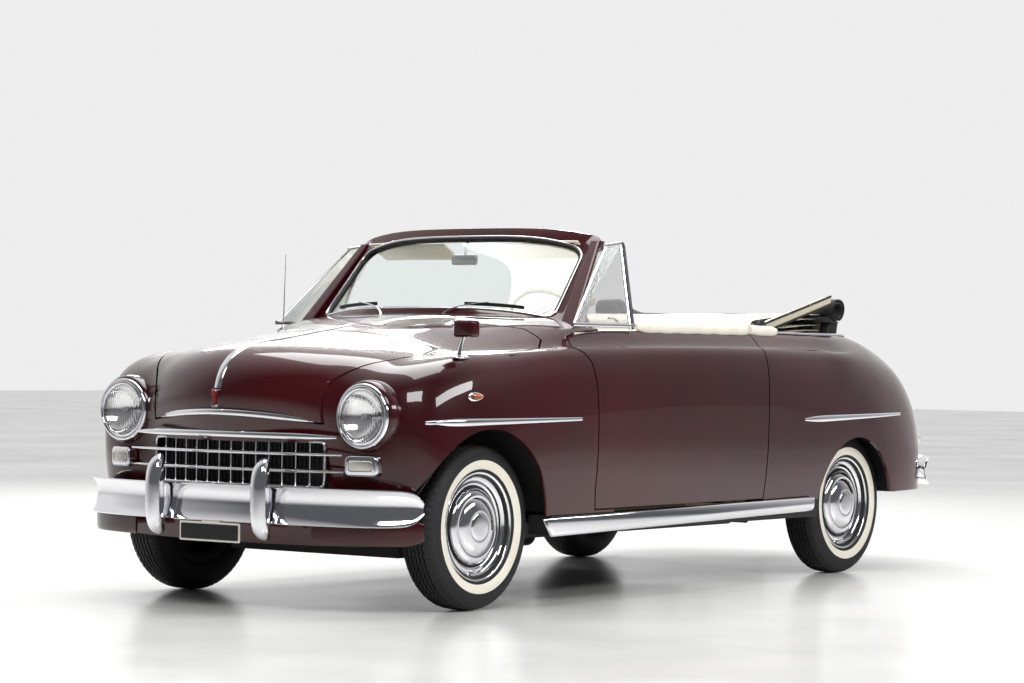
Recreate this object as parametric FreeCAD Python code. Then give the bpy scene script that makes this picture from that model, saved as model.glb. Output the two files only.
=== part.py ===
import FreeCAD, Part
import math
import os

# Open two-door car of the 1950s.  Millimetres, +Z up, the nose points to -Y and the car's left is +X.
# Inside this file y = 0 is the front axle and z = 0 the ground; saving moves y = 0 to mid length.

# ---- overall sizes ----
WHEELBASE = 2650.0
BODY_WIDTH = 1654.0
BODY_HEIGHT_SCALE = 1.0
AXLE_Z = 303.0
TRACK = 1326.0
FRONT_END = -672.0
REAR_END = 3612.0

# ---- wheels and tyres ----
TYRE_RADIUS = 303.0
TYRE_WIDTH = 156.0
TYRE_SEAT_GAP = 0.3
RIM_SEAT_RADIUS = 186.0
RIM_FLANGE_RADIUS = 199.0
RIM_HALF_WIDTH = 62.0
RIM_FLANGE = 8.0
RIM_WALL = 7.0
WHEEL_DISC = 6.0
DISC_X = 26.0
HUB_RADIUS = 44.0
HUB_LENGTH = 62.0
STUB_OVER = 16.0
HUBCAP_RADIUS = 137.0
HUBCAP_BULGE = 42.0
HUBCAP_GAP = 0.5
DRUM_RADIUS = 118.0
STUB_RADIUS = 20.0
RUNNING_FIT = 0.05

# ---- panels ----
SKIN = 24.0
SHUT_GAP = 7.0
SEAT_GAP = 0.3
DOOR_INNER_X = 722.0
FRONT_ARCH = (-50.0, 297.0, 370.0, 360.0)
REAR_ARCH_LEAD = 50.0
REAR_ARCH = (300.0, 305.0, 290.0)

# ---- seams between panels, y from the front axle ----
DOOR_FRONT_Y = 616.0
DOOR_REAR_Y = 1842.0
DOOR_BOTTOM_Z = 350.0
HOOD_REAR_MID_Y = 150.0
HOOD_SIDE_REAR_Y = 352.0
FENDER_TOP_SEAM_X = 762.0
NOSE_HALF_WIDTH = 452.0
NOSE_REAR_Y = -300.0
COWL_REAR_Y = 700.0
CABIN_HALF_WIDTH = 708.0
CABIN_REAR_Y = 2300.0
WELL_HALF_WIDTH = 640.0
WELL_REAR_Y = 2890.0
DECK_HALF_WIDTH = 620.0
TRUNK_FRONT_Y = 2965.0
TRUNK_HALF_WIDTH = 520.0
TRUNK_BOTTOM_Z = 560.0
TAIL_BOTTOM_Z = 348.0

# ---- structure ----
RAIL_X = 345.0
RAIL_WIDTH = 60.0
RAIL_Z = 215.0
RAIL_HEIGHT = 80.0
RAIL_NOSE_Z = 330.0
RAIL_TAIL_Z = 400.0
RAIL_FRONT_Y = -470.0
RAIL_REAR_Y = 3450.0
FLOOR_THICK = 24.0
FLOOR_HALF_WIDTH = 699.0
FLOOR_REAR_Y = 2250.0
SILL_TOP_Z = 332.0
SILL_BOTTOM_Z = 262.0
SILL_OUTER_X = 807.0
FIREWALL_Y = 455.0
KINGPIN_X = 600.0
KNUCKLE_HALF = 26.0
AXLE_TUBE_RADIUS = 38.0
LAMP_X = 573.0
LAMP_Z = 701.0
LAMP_FRONT_Y = -478.0
LAMP_RADIUS = 115.0
COLUMN_X = 380.0
COLUMN_ANGLE = 30.0
STEER_RADIUS = 205.0
STEER_TOP = (832.0, 1183.0)
STEER_HUB_BACK = 24.0
STEER_PIN_RADIUS = 9.0
COLUMN_RADIUS = 22.0
DIFF_RADIUS = 112.0
PIPE_RADIUS = 22.0
TIP_RADIUS = 26.0
TIP_LENGTH = 60.0
SILENCER_RADIUS = 52.0
SILENCER_DROP = 24.0
TAIL_LAMP_RADIUS = 38.0
PILLAR_FRONT_Y = 540.0
GLASS_RAKE = (-0.68, 0.733)
GLASS_THICK = 6.0
REAR_SEAT_TOP_Z = 990.0
SHELF_Z = 780.0
ROLL_RADIUS = 60.0
TOP_RAIL_X = 606.0

FAN_STEP = 6.5          # station length that stands for one degree around an axle
HALF_REF = 827.0        # half width that the section table below is written for
FLOOR_Z = RAIL_Z + RAIL_HEIGHT
FLOOR_TOP = FLOOR_Z + FLOOR_THICK
MID_Y = (FRONT_END + REAR_END) / 2.0
HALF_TRACK = TRACK / 2.0
TAIL_SHIFT = WHEELBASE - 2650.0


# ---- small helpers ----
def vec(x, y, z):
    return FreeCAD.Vector(x, y, z)


def box(x0, x1, y0, y1, z0, z1):
    return Part.makeBox(x1 - x0, y1 - y0, z1 - z0, vec(x0, y0, z0))


def cyl(radius, length, start, axis):
    return Part.makeCylinder(radius, length, start, axis)


def tube(outer, inner, length, start, axis):
    return cyl(outer, length, start, axis).cut(cyl(inner, length, start, axis))


def rod(start, end, radius):
    run = end.sub(start)
    return Part.makeCylinder(radius, run.Length, start, run)


def prism(points, push):
    wire = Part.makePolygon(points + [points[0]])
    return Part.Face(wire).extrude(push)


def prism_x(yz, x0, x1):
    return prism([vec(x0, y, z) for y, z in yz], vec(x1 - x0, 0, 0))


def prism_y(xz, y0, y1):
    return prism([vec(x, y0, z) for x, z in xz], vec(0, y1 - y0, 0))


def prism_z(xy, z0, z1):
    return prism([vec(x, y, z0) for x, y in xy], vec(0, 0, z1 - z0))


def mirrored(shape):
    return shape.mirror(vec(0, 0, 0), vec(1, 0, 0))


def join(shapes):
    out = shapes[0]
    for shape in shapes[1:]:
        out = out.fuse(shape)
    return out.removeSplitter()


def group(shapes):
    solids = []
    for shape in shapes:
        solids += shape.Solids
    return Part.Compound(solids)


def cut_all(shape, tools):
    for tool in tools:
        shape = shape.cut(tool)
    return shape


def revolve_x(profile, x_sign, centre):
    """Turns an (x, radius) outline about a wheel's axis."""
    points = [vec(centre.x + x_sign * x, centre.y, centre.z + r) for x, r in profile]
    face = Part.Face(Part.makePolygon(points + [points[0]]))
    return face.revolve(centre, vec(1, 0, 0), 360)


def save(name, shape):
    shape = shape.copy()
    shape.translate(vec(0, -MID_Y, 0))
    shape.exportStep("parts/" + name + ".step")


# ---- body skin ----
def fan_front(degrees):
    return -FAN_STEP * degrees


def fan_rear(degrees):
    return WHEELBASE + FAN_STEP * degrees


def mid(y):
    """Places a y of the section table, written for the usual wheelbase, on this wheelbase."""
    return y * WHEELBASE / 2650.0


def station_point(s, x, h):
    """A point h above the axle line: stations fan around both axles and stand upright between them."""
    x = x * BODY_WIDTH / (2.0 * HALF_REF)
    h = h * BODY_HEIGHT_SCALE
    if s < 0:
        turn = math.radians(-s / FAN_STEP)
        return vec(x, -h * math.sin(turn), AXLE_Z + h * math.cos(turn))
    if s > WHEELBASE:
        turn = math.radians((s - WHEELBASE) / FAN_STEP)
        return vec(x, WHEELBASE + h * math.sin(turn), AXLE_Z + h * math.cos(turn))
    return vec(x, s, AXLE_Z + h)


F = fan_front
R = fan_rear
M = mid
# Each rail runs from the front apron, over the car, to the rear apron: (station, x, height above axle).
RAILS = [
    [(F(98), 0, 486), (F(88), 0, 503), (F(81), 0, 508), (F(74.5), 0, 524), (F(69.3), 0, 564),
     (F(62.5), 0, 628), (F(59), 0, 668), (F(56), 0, 722), (F(51.4), 0, 775), (F(48), 0, 801),
     (F(44), 0, 808), (F(37.4), 0, 793), (F(29.7), 0, 756), (F(21.5), 0, 718), (F(12.3), 0, 700),
     (M(0), 0, 704), (M(148), 0, 727), (M(300), 0, 751), (M(450), 0, 774), (M(560), 0, 786),
     (M(700), 0, 789), (M(900), 0, 765), (M(1150), 0, 740), (M(1900), 0, 735), (M(2650), 0, 745),
     (R(10), 0, 757), (R(18.7), 0, 781), (R(32.5), 0, 836), (R(46), 0, 898), (R(56), 0, 934),
     (R(65), 0, 945), (R(71.5), 0, 941), (R(78), 0, 925), (R(84), 0, 903), (R(90), 0, 880),
     (R(98), 0, 868)],
    [(F(98), 170, 484), (F(88), 170, 500), (F(81), 170, 503), (F(74.5), 170, 515), (F(69.3), 170, 548),
     (F(62.5), 170, 606), (F(59), 170, 642), (F(56), 170, 694), (F(51.4), 170, 750), (F(48), 170, 779),
     (F(44), 170, 790), (F(37.4), 170, 779), (F(29.7), 170, 745), (F(21.5), 170, 710),
     (F(12.3), 170, 693), (M(0), 175, 698), (M(148), 190, 721), (M(300), 210, 745), (M(450), 225, 768),
     (M(560), 235, 782), (M(700), 240, 786), (M(900), 250, 763), (M(1150), 260, 740),
     (M(1900), 260, 735), (M(2650), 260, 744), (R(10), 260, 756), (R(18.7), 255, 779),
     (R(32.5), 250, 831), (R(46), 245, 890), (R(56), 240, 925), (R(65), 240, 937), (R(71.5), 240, 933),
     (R(78), 240, 917), (R(84), 240, 895), (R(90), 240, 872), (R(98), 240, 860)],
    [(F(98), 330, 476), (F(88), 330, 488), (F(81), 330, 487), (F(74.5), 330, 484), (F(69.3), 330, 504),
     (F(62.5), 330, 549), (F(59), 330, 580), (F(56), 330, 622), (F(51.4), 330, 682), (F(48), 330, 716),
     (F(44), 330, 740), (F(37.4), 330, 742), (F(29.7), 330, 719), (F(21.5), 330, 691),
     (F(12.3), 330, 676), (M(0), 340, 681), (M(148), 375, 700), (M(300), 415, 722), (M(450), 450, 747),
     (M(560), 475, 765), (M(700), 490, 773), (M(900), 500, 756), (M(1150), 500, 738),
     (M(1900), 490, 734), (M(2650), 480, 741), (R(10), 465, 753), (R(18.7), 455, 772),
     (R(32.5), 445, 812), (R(46), 440, 858), (R(56), 435, 890), (R(65), 432, 902), (R(71.5), 430, 898),
     (R(78), 430, 884), (R(84), 430, 865), (R(90), 430, 845), (R(98), 430, 832)],
    [(F(98), 455, 460), (F(88), 455, 468), (F(81), 455, 466), (F(74.5), 455, 464), (F(69.3), 455, 482),
     (F(62.5), 455, 517), (F(56), 455, 563), (F(51.4), 455, 607), (F(48), 455, 640), (F(44), 460, 673),
     (F(37.4), 465, 695), (F(29.7), 475, 690), (F(21.5), 490, 668), (F(12.3), 505, 650),
     (M(0), 520, 648), (M(148), 570, 660), (M(300), 625, 678), (M(450), 675, 700), (M(560), 702, 717),
     (M(700), 716, 728), (M(900), 720, 731), (M(1150), 722, 731), (M(1900), 720, 731),
     (M(2300), 712, 730), (M(2650), 680, 728), (R(10), 640, 735), (R(18.7), 612, 748),
     (R(28), 600, 767), (R(36), 595, 785), (R(46), 590, 812), (R(56), 588, 834), (R(65), 586, 838),
     (R(71.5), 585, 831), (R(78), 585, 817), (R(84), 585, 800), (R(90), 585, 784), (R(98), 585, 772)],
    [(F(98), 573, 436), (F(88), 573, 441), (F(81), 573, 448), (F(74), 573, 465), (F(68), 573, 495),
     (F(62), 573, 528), (F(56), 573, 562), (F(51), 573, 598), (F(46), 573, 640), (F(41), 575, 668),
     (F(35), 578, 674), (F(27), 585, 661), (F(18), 600, 642), (F(9), 615, 629), (M(0), 630, 623),
     (M(148), 675, 630), (M(300), 722, 639), (M(450), 756, 650), (M(560), 764, 655), (M(900), 771, 662),
     (M(1400), 777, 667), (M(1900), 774, 667), (M(2300), 764, 662), (M(2650), 742, 668),
     (R(8), 712, 690), (R(14), 690, 712), (R(20.5), 672, 728), (R(28), 664, 743), (R(36), 660, 760),
     (R(46), 656, 782), (R(56), 654, 795), (R(65), 652, 793), (R(71.5), 652, 782), (R(78), 652, 767),
     (R(84), 652, 752), (R(90), 652, 738), (R(98), 652, 727)],
    [(F(98), 655, 416), (F(88), 655, 420), (F(81), 655, 428), (F(74), 655, 446), (F(68), 656, 472),
     (F(62), 658, 503), (F(56), 660, 537), (F(50), 662, 580), (F(44), 664, 624), (F(38), 668, 650),
     (F(30), 675, 655), (F(20), 690, 641), (F(10), 704, 630), (M(0), 714, 626), (M(148), 738, 630),
     (M(300), 762, 637), (M(450), 779, 643), (M(560), 784, 647), (M(900), 790, 654),
     (M(1400), 796, 658), (M(1900), 793, 658), (M(2300), 784, 654), (M(2650), 768, 652),
     (R(8), 752, 660), (R(14), 740, 672), (R(20.5), 728, 686), (R(28), 718, 706), (R(36), 712, 727),
     (R(46), 707, 748), (R(56), 704, 755), (R(65), 702, 747), (R(71.5), 702, 734), (R(78), 702, 718),
     (R(84), 702, 704), (R(90), 702, 690), (R(98), 702, 680)],
    [(F(98), 718, 386), (F(88), 718, 390), (F(81), 719, 398), (F(74), 720, 414), (F(68), 722, 437),
     (F(62), 724, 465), (F(56), 727, 497), (F(50), 730, 538), (F(44), 733, 580), (F(38), 737, 610),
     (F(30), 743, 625), (F(20), 751, 619), (F(10), 758, 610), (M(0), 765, 606), (M(148), 779, 606),
     (M(300), 793, 608), (M(450), 803, 609), (M(560), 807, 610), (M(900), 811, 612), (M(1400), 815, 613),
     (M(1900), 813, 612), (M(2300), 807, 608), (M(2650), 797, 604), (R(8), 788, 610), (R(14), 781, 620),
     (R(20.5), 773, 633), (R(28), 765, 652), (R(36), 759, 673), (R(46), 753, 692), (R(56), 750, 696),
     (R(65), 748, 686), (R(71.5), 747, 671), (R(78), 746, 655), (R(84), 746, 641), (R(90), 746, 628),
     (R(98), 746, 617)],
    [(F(98), 768, 340), (F(88), 768, 345), (F(81), 769, 353), (F(74), 770, 368), (F(68), 772, 388),
     (F(62), 774, 412), (F(56), 777, 440), (F(50), 780, 474), (F(44), 783, 508), (F(38), 786, 534),
     (F(30), 790, 548), (F(20), 795, 544), (F(10), 800, 534), (M(0), 804, 528), (M(148), 811, 525),
     (M(300), 817, 523), (M(450), 821, 521), (M(900), 825, 520), (M(1400), 827, 519), (M(1900), 826, 517),
     (M(2300), 823, 513), (M(2650), 817, 508), (R(14), 810, 520), (R(20.5), 806, 532), (R(28), 800, 548),
     (R(36), 795, 565), (R(46), 790, 581), (R(56), 786, 582), (R(65), 784, 570), (R(71.5), 783, 556),
     (R(78), 782, 541), (R(84), 782, 529), (R(90), 782, 518), (R(98), 782, 508)],
    [(F(98), 800, 282), (F(88), 800, 286), (F(74), 801, 304), (F(62), 804, 340), (F(50), 808, 385),
     (F(38), 812, 422), (F(24), 815, 420), (F(10), 818, 395), (M(0), 820, 375), (M(148), 822, 362),
     (M(300), 825, 355), (M(900), 827, 350), (M(1900), 827, 350), (M(2650), 825, 355), (R(14), 823, 368),
     (R(28), 819, 390), (R(46), 812, 412), (R(60), 808, 405), (R(72), 806, 388), (R(84), 805, 370),
     (R(98), 805, 355)],
    [(F(98), 814, 170), (F(74), 814, 180), (F(50), 815, 210), (F(24), 816, 215), (M(0), 817, 190),
     (M(300), 819, 178), (M(900), 820, 175), (M(1900), 820, 175), (M(2650), 820, 185), (R(28), 820, 200),
     (R(60), 819, 205), (R(84), 818, 195), (R(98), 818, 190)],
    [(F(98), 800, 30), (M(0), 800, 30), (M(900), 800, 30), (M(1900), 800, 30), (M(2650), 800, 30),
     (R(98), 800, 30)],
]


def slopes(xs, ys):
    """Finite differences at the knots, for a cubic that bends gently."""
    out = []
    last = len(xs) - 1
    for i in range(last + 1):
        if i in (0, last):
            a = max(i - 1, 0)
            b = min(i + 1, last)
            out.append((ys[b] - ys[a]) / (xs[b] - xs[a]))
            continue
        before = xs[i] - xs[i - 1]
        after = xs[i + 1] - xs[i]
        left = (ys[i] - ys[i - 1]) / before
        right = (ys[i + 1] - ys[i]) / after
        out.append((left * after + right * before) / (before + after))
    return out


def curve_value(xs, ys, ms, x):
    i = 0
    while i < len(xs) - 2 and x > xs[i + 1]:
        i += 1
    span = xs[i + 1] - xs[i]
    t = (x - xs[i]) / span
    a = 2 * t ** 3 - 3 * t ** 2 + 1
    b = t ** 3 - 2 * t ** 2 + t
    c = 3 * t ** 2 - 2 * t ** 3
    d = t ** 3 - t ** 2
    return a * ys[i] + b * span * ms[i] + c * ys[i + 1] + d * span * ms[i + 1]


def stations(overrun):
    first = F(98 + overrun)
    last = R(98 + overrun)
    out = []
    s = first
    while s < last - 30:
        out.append(s)
        s += 26.0 if s < 0 or s > WHEELBASE else 95.0
    out.append(last)
    return out


# Which way each rail moves when the skin is made thinner: (sideways, towards the axle line).
INWARD = [(0, 1), (0.05, 1), (0.15, 0.98), (0.3, 0.95), (0.5, 0.85), (0.65, 0.76), (0.85, 0.52),
          (0.96, 0.28), (1, 0.05), (1, 0), (1, 0)]


def clamped(count):
    """Knots and multiplicities of an even cubic spline on this many poles."""
    knots = [float(i) for i in range(count - 2)]
    mults = [4] + [1] * (count - 4) + [4]
    return knots, mults


def row_points(s, inset):
    """One station's outline, left side up, over and down the right side, with a point between rails."""
    half = []
    for rail, (sideways, inward) in zip(RAILS, INWARD):
        keys = [p[0] for p in rail]
        xs = [p[1] for p in rail]
        hs = [p[2] for p in rail]
        at = min(max(s, keys[0]), keys[-1])
        x = curve_value(keys, xs, slopes(keys, xs), at) - sideways * inset
        h = curve_value(keys, hs, slopes(keys, hs), at) - inward * inset
        if inset and rail is RAILS[-1]:
            h -= 20.0
        half.append((x if x > 1 else 0, h))
    row = half[::-1] + [(-x, h) for x, h in half[1:]]
    ts = [0.0]
    for (xa, ha), (xb, hb) in zip(row, row[1:]):
        ts.append(ts[-1] + math.hypot(xb - xa, hb - ha))
    xs = [p[0] for p in row]
    hs = [p[1] for p in row]
    mx = slopes(ts, xs)
    mh = slopes(ts, hs)
    points = []
    for ta, tb in zip(ts, ts[1:]):
        for t in (ta, (ta + tb) / 2.0):
            points.append(station_point(s, curve_value(ts, xs, mx, t), curve_value(ts, hs, mh, t)))
    points.append(station_point(s, row[-1][0], row[-1][1]))
    return points


def skin_surface(inset):
    poles = [row_points(s, inset) for s in stations(6 if inset else 0)]
    u_knots, u_mults = clamped(len(poles))
    v_knots, v_mults = clamped(len(poles[0]))
    surface = Part.BSplineSurface()
    surface.buildFromPolesMultsKnots(poles, u_mults, v_mults, u_knots, v_knots, False, False, 3, 3)
    return surface


def skin_solid(inset):
    """Closes the skin with a floor between its side edges and a flat face at each end."""
    face = skin_surface(inset).toShape()
    faces = [face]
    sides = []
    for edge in face.Edges:
        start = edge.Vertexes[0].Point
        end = edge.Vertexes[-1].Point
        if abs(start.x + end.x) < 1.0:
            rim = Part.Edge(edge.Curve, edge.FirstParameter, edge.LastParameter)
            low = rim.Vertexes[-1].Point
            top = rim.valueAt((rim.FirstParameter + rim.LastParameter) / 2.0)
            wire = Part.Wire([rim, Part.makeLine(low, rim.Vertexes[0].Point)])
            faces.append(Part.Face(Part.Plane(rim.Vertexes[0].Point, top, low), wire))
        else:
            sides.append(edge)
    faces.append(Part.makeRuledSurface(sides[0], sides[1]))
    shell = Part.Shell(faces)
    shell.sewShape()
    solid = Part.Solid(shell)
    if solid.Volume < 0:
        solid.reverse()
    return solid


# ---- zones that the seams enclose ----
def grown(points, grow, low, high):
    """A plan outline pushed outwards by grow, as an upright block."""
    wire = Part.makePolygon([vec(x, y, low) for x, y in points + points[:1]])
    if grow:
        wire = wire.makeOffset2D(grow, 2)
    return Part.Face(wire).extrude(vec(0, 0, high - low))


def hood_zone(grow):
    side = [(384, -900), (384, -515), (405, -480), (470, -405), (545, -300), (590, -190), (622, -60),
            (655, 60), (697, 200), (720, 290), (726, HOOD_SIDE_REAR_Y), (690, 415), (600, 436), (450, 384),
            (350, 309), (200, 210), (100, 166)]
    plan = side + [(0, HOOD_REAR_MID_Y)] + [(-x, y) for x, y in side[::-1]]
    block = grown(plan, grow, 560, 1200)
    low = [(-800, 655), (-384, 676), (-200, 694), (0, 702), (200, 694), (384, 676), (800, 655)]
    under = prism_y([(x, z - grow) for x, z in low] + [(800, 300), (-800, 300)], -1000, 900)
    return block.cut(under)


def door_zone(grow):
    front = [(DOOR_FRONT_Y + 16, DOOR_BOTTOM_Z), (DOOR_FRONT_Y + 2, 420), (DOOR_FRONT_Y, 684),
             (DOOR_FRONT_Y - 9, 820), (DOOR_FRONT_Y - 28, 900), (DOOR_FRONT_Y - 58, 938),
             (DOOR_FRONT_Y - 92, 955), (DOOR_FRONT_Y - 76, 975), (DOOR_FRONT_Y - 41, 1040),
             (DOOR_FRONT_Y - 41, 1120)]
    outline = front + [(DOOR_REAR_Y, 1120), (DOOR_REAR_Y, DOOR_BOTTOM_Z)]
    wire = Part.makePolygon([vec(DOOR_INNER_X - grow, y, z) for y, z in outline + outline[:1]])
    if grow:
        wire = wire.makeOffset2D(grow, 2)
    return Part.Face(wire).extrude(vec(200, 0, 0))


def trunk_zone(grow):
    half = TRUNK_HALF_WIDTH + grow
    front = TRUNK_FRONT_Y + TAIL_SHIFT - grow
    return box(-half, half, front, REAR_END + 600, TRUNK_BOTTOM_Z - grow, 1300)


def cabin_zone():
    rear = WELL_REAR_Y + TAIL_SHIFT
    half = [(CABIN_HALF_WIDTH, COWL_REAR_Y), (CABIN_HALF_WIDTH, CABIN_REAR_Y + TAIL_SHIFT),
            (WELL_HALF_WIDTH, rear - 120), (WELL_HALF_WIDTH - 90, rear)]
    plan = half + [(-x, y) for x, y in half[::-1]]
    return prism_z(plan, 850, 1400)


def ellipse_cut(centre_y, centre_z, half_y, half_z):
    count = 48
    points = []
    for i in range(count):
        turn = 2 * math.pi * i / count
        points.append(vec(500, centre_y + half_y * math.cos(turn), centre_z + half_z * math.sin(turn)))
    curve = Part.BSplineCurve()
    curve.interpolate(points, PeriodicFlag=True)
    left = Part.Face(Part.Wire([curve.toShape()])).extrude(vec(400, 0, 0))
    return [left, mirrored(left)]


# ---- body panels ----
def body_panels():
    outer = skin_solid(0.0)
    inner = skin_solid(SKIN)
    shell = outer.cut(inner)
    arch_y, arch_z, arch_a, arch_b = FRONT_ARCH
    arches = ellipse_cut(arch_y, arch_z, arch_a, arch_b)
    rear_z, rear_a, rear_b = REAR_ARCH
    arches += ellipse_cut(WHEELBASE - REAR_ARCH_LEAD, rear_z, rear_a, rear_b)
    below_tail = box(-900, 900, WHEELBASE, REAR_END + 300, 0, TAIL_BOTTOM_Z)
    shell = cut_all(shell, arches + [cabin_zone(), below_tail])
    door_cuts = [door_zone(SHUT_GAP), mirrored(door_zone(SHUT_GAP))]
    fixed = cut_all(shell, [hood_zone(SHUT_GAP), trunk_zone(SHUT_GAP)] + door_cuts)

    hood = outer.common(hood_zone(0)).cut(inner)
    save("hood", hood)
    trunk = outer.common(trunk_zone(0)).cut(inner)
    save("trunk_lid", trunk)
    door = outer.common(door_zone(0)).common(box(DOOR_INNER_X, 900, 0, 2500, 0, 1300))
    latch = cyl(6, 20, vec(800, DOOR_REAR_Y - 13 - SEAT_GAP, 640), vec(0, 1, 0))
    door = door.fuse(latch)
    save("door_left", door)
    save("door_right", mirrored(door))

    nose_zone = box(-NOSE_HALF_WIDTH, NOSE_HALF_WIDTH, -900, NOSE_REAR_Y, 0, 900)
    nose = fixed.common(nose_zone)
    opening = prism_y([(-402, 598), (402, 598), (365, 440), (-365, 440)], -900, -200)
    slots = [box(x - 6, x + RAIL_WIDTH + 6, -800, -300, RAIL_NOSE_Z - 6, RAIL_NOSE_Z + 66)
             for x in (RAIL_X, -RAIL_X - RAIL_WIDTH)]
    nose = cut_all(nose, [opening] + slots)
    save("nose_panel", nose)

    cowl_zone = box(-FENDER_TOP_SEAM_X, FENDER_TOP_SEAM_X, HOOD_REAR_MID_Y - 20, COWL_REAR_Y, 850, 1300)
    cowl = fixed.common(cowl_zone)
    save("cowl", cowl)

    front_zone = box(0, 900, -900, 800, 0, 1300).cut(nose_zone).cut(cowl_zone)
    fender = fixed.common(front_zone)
    lamp_axis = vec(0, 1, 0)
    nacelle_front = vec(LAMP_X, LAMP_FRONT_Y + 8, LAMP_Z)
    nacelle = Part.makeCone(LAMP_RADIUS + 5, LAMP_RADIUS + 40, 150, nacelle_front, lamp_axis)
    nacelle = nacelle.cut(inner).cut(hood_zone(SHUT_GAP)).cut(nose_zone)
    fender = fender.fuse(nacelle)
    lamp_start = vec(LAMP_X, LAMP_FRONT_Y - 200, LAMP_Z)
    fender = fender.cut(cyl(LAMP_RADIUS + SEAT_GAP, 500, lamp_start, lamp_axis))
    fender = fender.cut(box(526 - SEAT_GAP, 626 + SEAT_GAP, -600, -300, 501 - SEAT_GAP, 553 + SEAT_GAP))
    fender = biggest(fender)
    save("front_fender_left", fender)
    save("front_fender_right", mirrored(fender))

    rear_zone = box(0, 900, 1500, REAR_END + 400, 0, 1300)
    deck_front = WELL_REAR_Y + TAIL_SHIFT - 130
    deck_zone = box(-DECK_HALF_WIDTH, DECK_HALF_WIDTH, deck_front, REAR_END + 400, 0, 1300)
    quarter = fixed.common(rear_zone).cut(deck_zone)
    pillar = box(DOOR_INNER_X, 900, DOOR_REAR_Y + SHUT_GAP, WHEELBASE - 370, SILL_TOP_Z + 2, 1300)
    wall = outer.common(pillar)
    quarter = quarter.fuse(wall)
    lamp = cyl(TAIL_LAMP_RADIUS + SEAT_GAP, 400, tail_lamp_place(-250), vec(0, 1, 0))
    quarter = biggest(quarter.cut(lamp))
    save("rear_quarter_left", quarter)
    save("rear_quarter_right", mirrored(quarter))

    deck = fixed.common(deck_zone)
    slots = [box(x - 6, x + RAIL_WIDTH + 6, RAIL_REAR_Y, REAR_END + 100, RAIL_TAIL_Z - 6, RAIL_TAIL_Z + 56)
             for x in (RAIL_X, -RAIL_X - RAIL_WIDTH)]
    save("rear_deck", biggest(cut_all(deck, slots)))
    return nose


def biggest(shape):
    return sorted(shape.Solids, key=lambda solid: solid.Volume)[-1]


def tail_lamp_place(back):
    return vec(662, WHEELBASE + 735 + back, 575)


# ---- frame, floor and running gear ----
def frame_and_floor():
    tail = RAIL_REAR_Y + TAIL_SHIFT
    low = RAIL_Z
    kick = WHEELBASE - 260
    side = [(RAIL_FRONT_Y, RAIL_NOSE_Z), (-280, RAIL_NOSE_Z), (-160, low), (kick - 160, low),
            (kick, RAIL_TAIL_Z), (tail, RAIL_TAIL_Z), (tail, RAIL_TAIL_Z + 50),
            (kick - 30, RAIL_TAIL_Z + 50),
            (kick - 190, low + RAIL_HEIGHT), (-120, low + RAIL_HEIGHT), (-240, RAIL_NOSE_Z + 60),
            (RAIL_FRONT_Y, RAIL_NOSE_Z + 60)]
    left = prism_x(side, RAIL_X, RAIL_X + RAIL_WIDTH)
    parts = [left, mirrored(left)]
    for y, z, depth, height in ((-440, RAIL_NOSE_Z, 50, 50), (60, low + 15, 80, 64.7), (950, low, 60, 70),
                                (1950, low, 60, 70), (tail - 60, RAIL_TAIL_Z, 50, 50)):
        parts.append(box(-RAIL_X - 1, RAIL_X + 1, y, y + depth, z, z + height))
    spring_x = RAIL_X + RAIL_WIDTH
    for y, top in ((WHEELBASE - 480, low + RAIL_HEIGHT), (WHEELBASE + 450, RAIL_TAIL_Z + 40)):
        hanger = box(spring_x - 1, spring_x + 115, y, y + 20, low + 10, top)
        parts += [hanger, mirrored(hanger)]
    shaft_room = rod(vec(0, 850, 200), vec(0, WHEELBASE, AXLE_Z - 37), 40)
    frame = join(parts).cut(shaft_room)
    save("chassis_frame", frame)

    floor = box(-FLOOR_HALF_WIDTH, FLOOR_HALF_WIDTH, FIREWALL_Y - 30, FLOOR_REAR_Y, FLOOR_Z, FLOOR_TOP)
    riser = box(-560, 560, FLOOR_REAR_Y - 24, FLOOR_REAR_Y, FLOOR_TOP, RAIL_TAIL_Z + 74)
    tail_floor = box(-560, 560, FLOOR_REAR_Y, tail + 20, RAIL_TAIL_Z + 50, RAIL_TAIL_Z + 74)
    shelf_front = WHEELBASE - 190
    shelf = box(-560, 560, shelf_front, WELL_REAR_Y + TAIL_SHIFT - 40, SHELF_Z - 20, SHELF_Z)
    shelf_wall = box(-560, 560, shelf_front, shelf_front + 20, RAIL_TAIL_Z + 70, SHELF_Z)
    pan = join([floor, riser, inside_body(tail_floor), shelf, shelf_wall])
    save("floor_pan", biggest(pan.cut(frame)))

    sill = box(FLOOR_HALF_WIDTH, SILL_OUTER_X, 345, WHEELBASE - 372, SILL_BOTTOM_Z, SILL_TOP_Z)
    save("sills", group([sill, mirrored(sill)]))
    rear = WHEELBASE - 404
    side = [(283, 322), (rear - 20, 346), (rear, 336), (rear - 4, 300), (rear - 67, 287), (333, 257)]
    moulding = prism_x(side, SILL_OUTER_X + SEAT_GAP, SILL_OUTER_X + 20)
    save("sill_mouldings", group([moulding, mirrored(moulding)]))
    return frame


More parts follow.
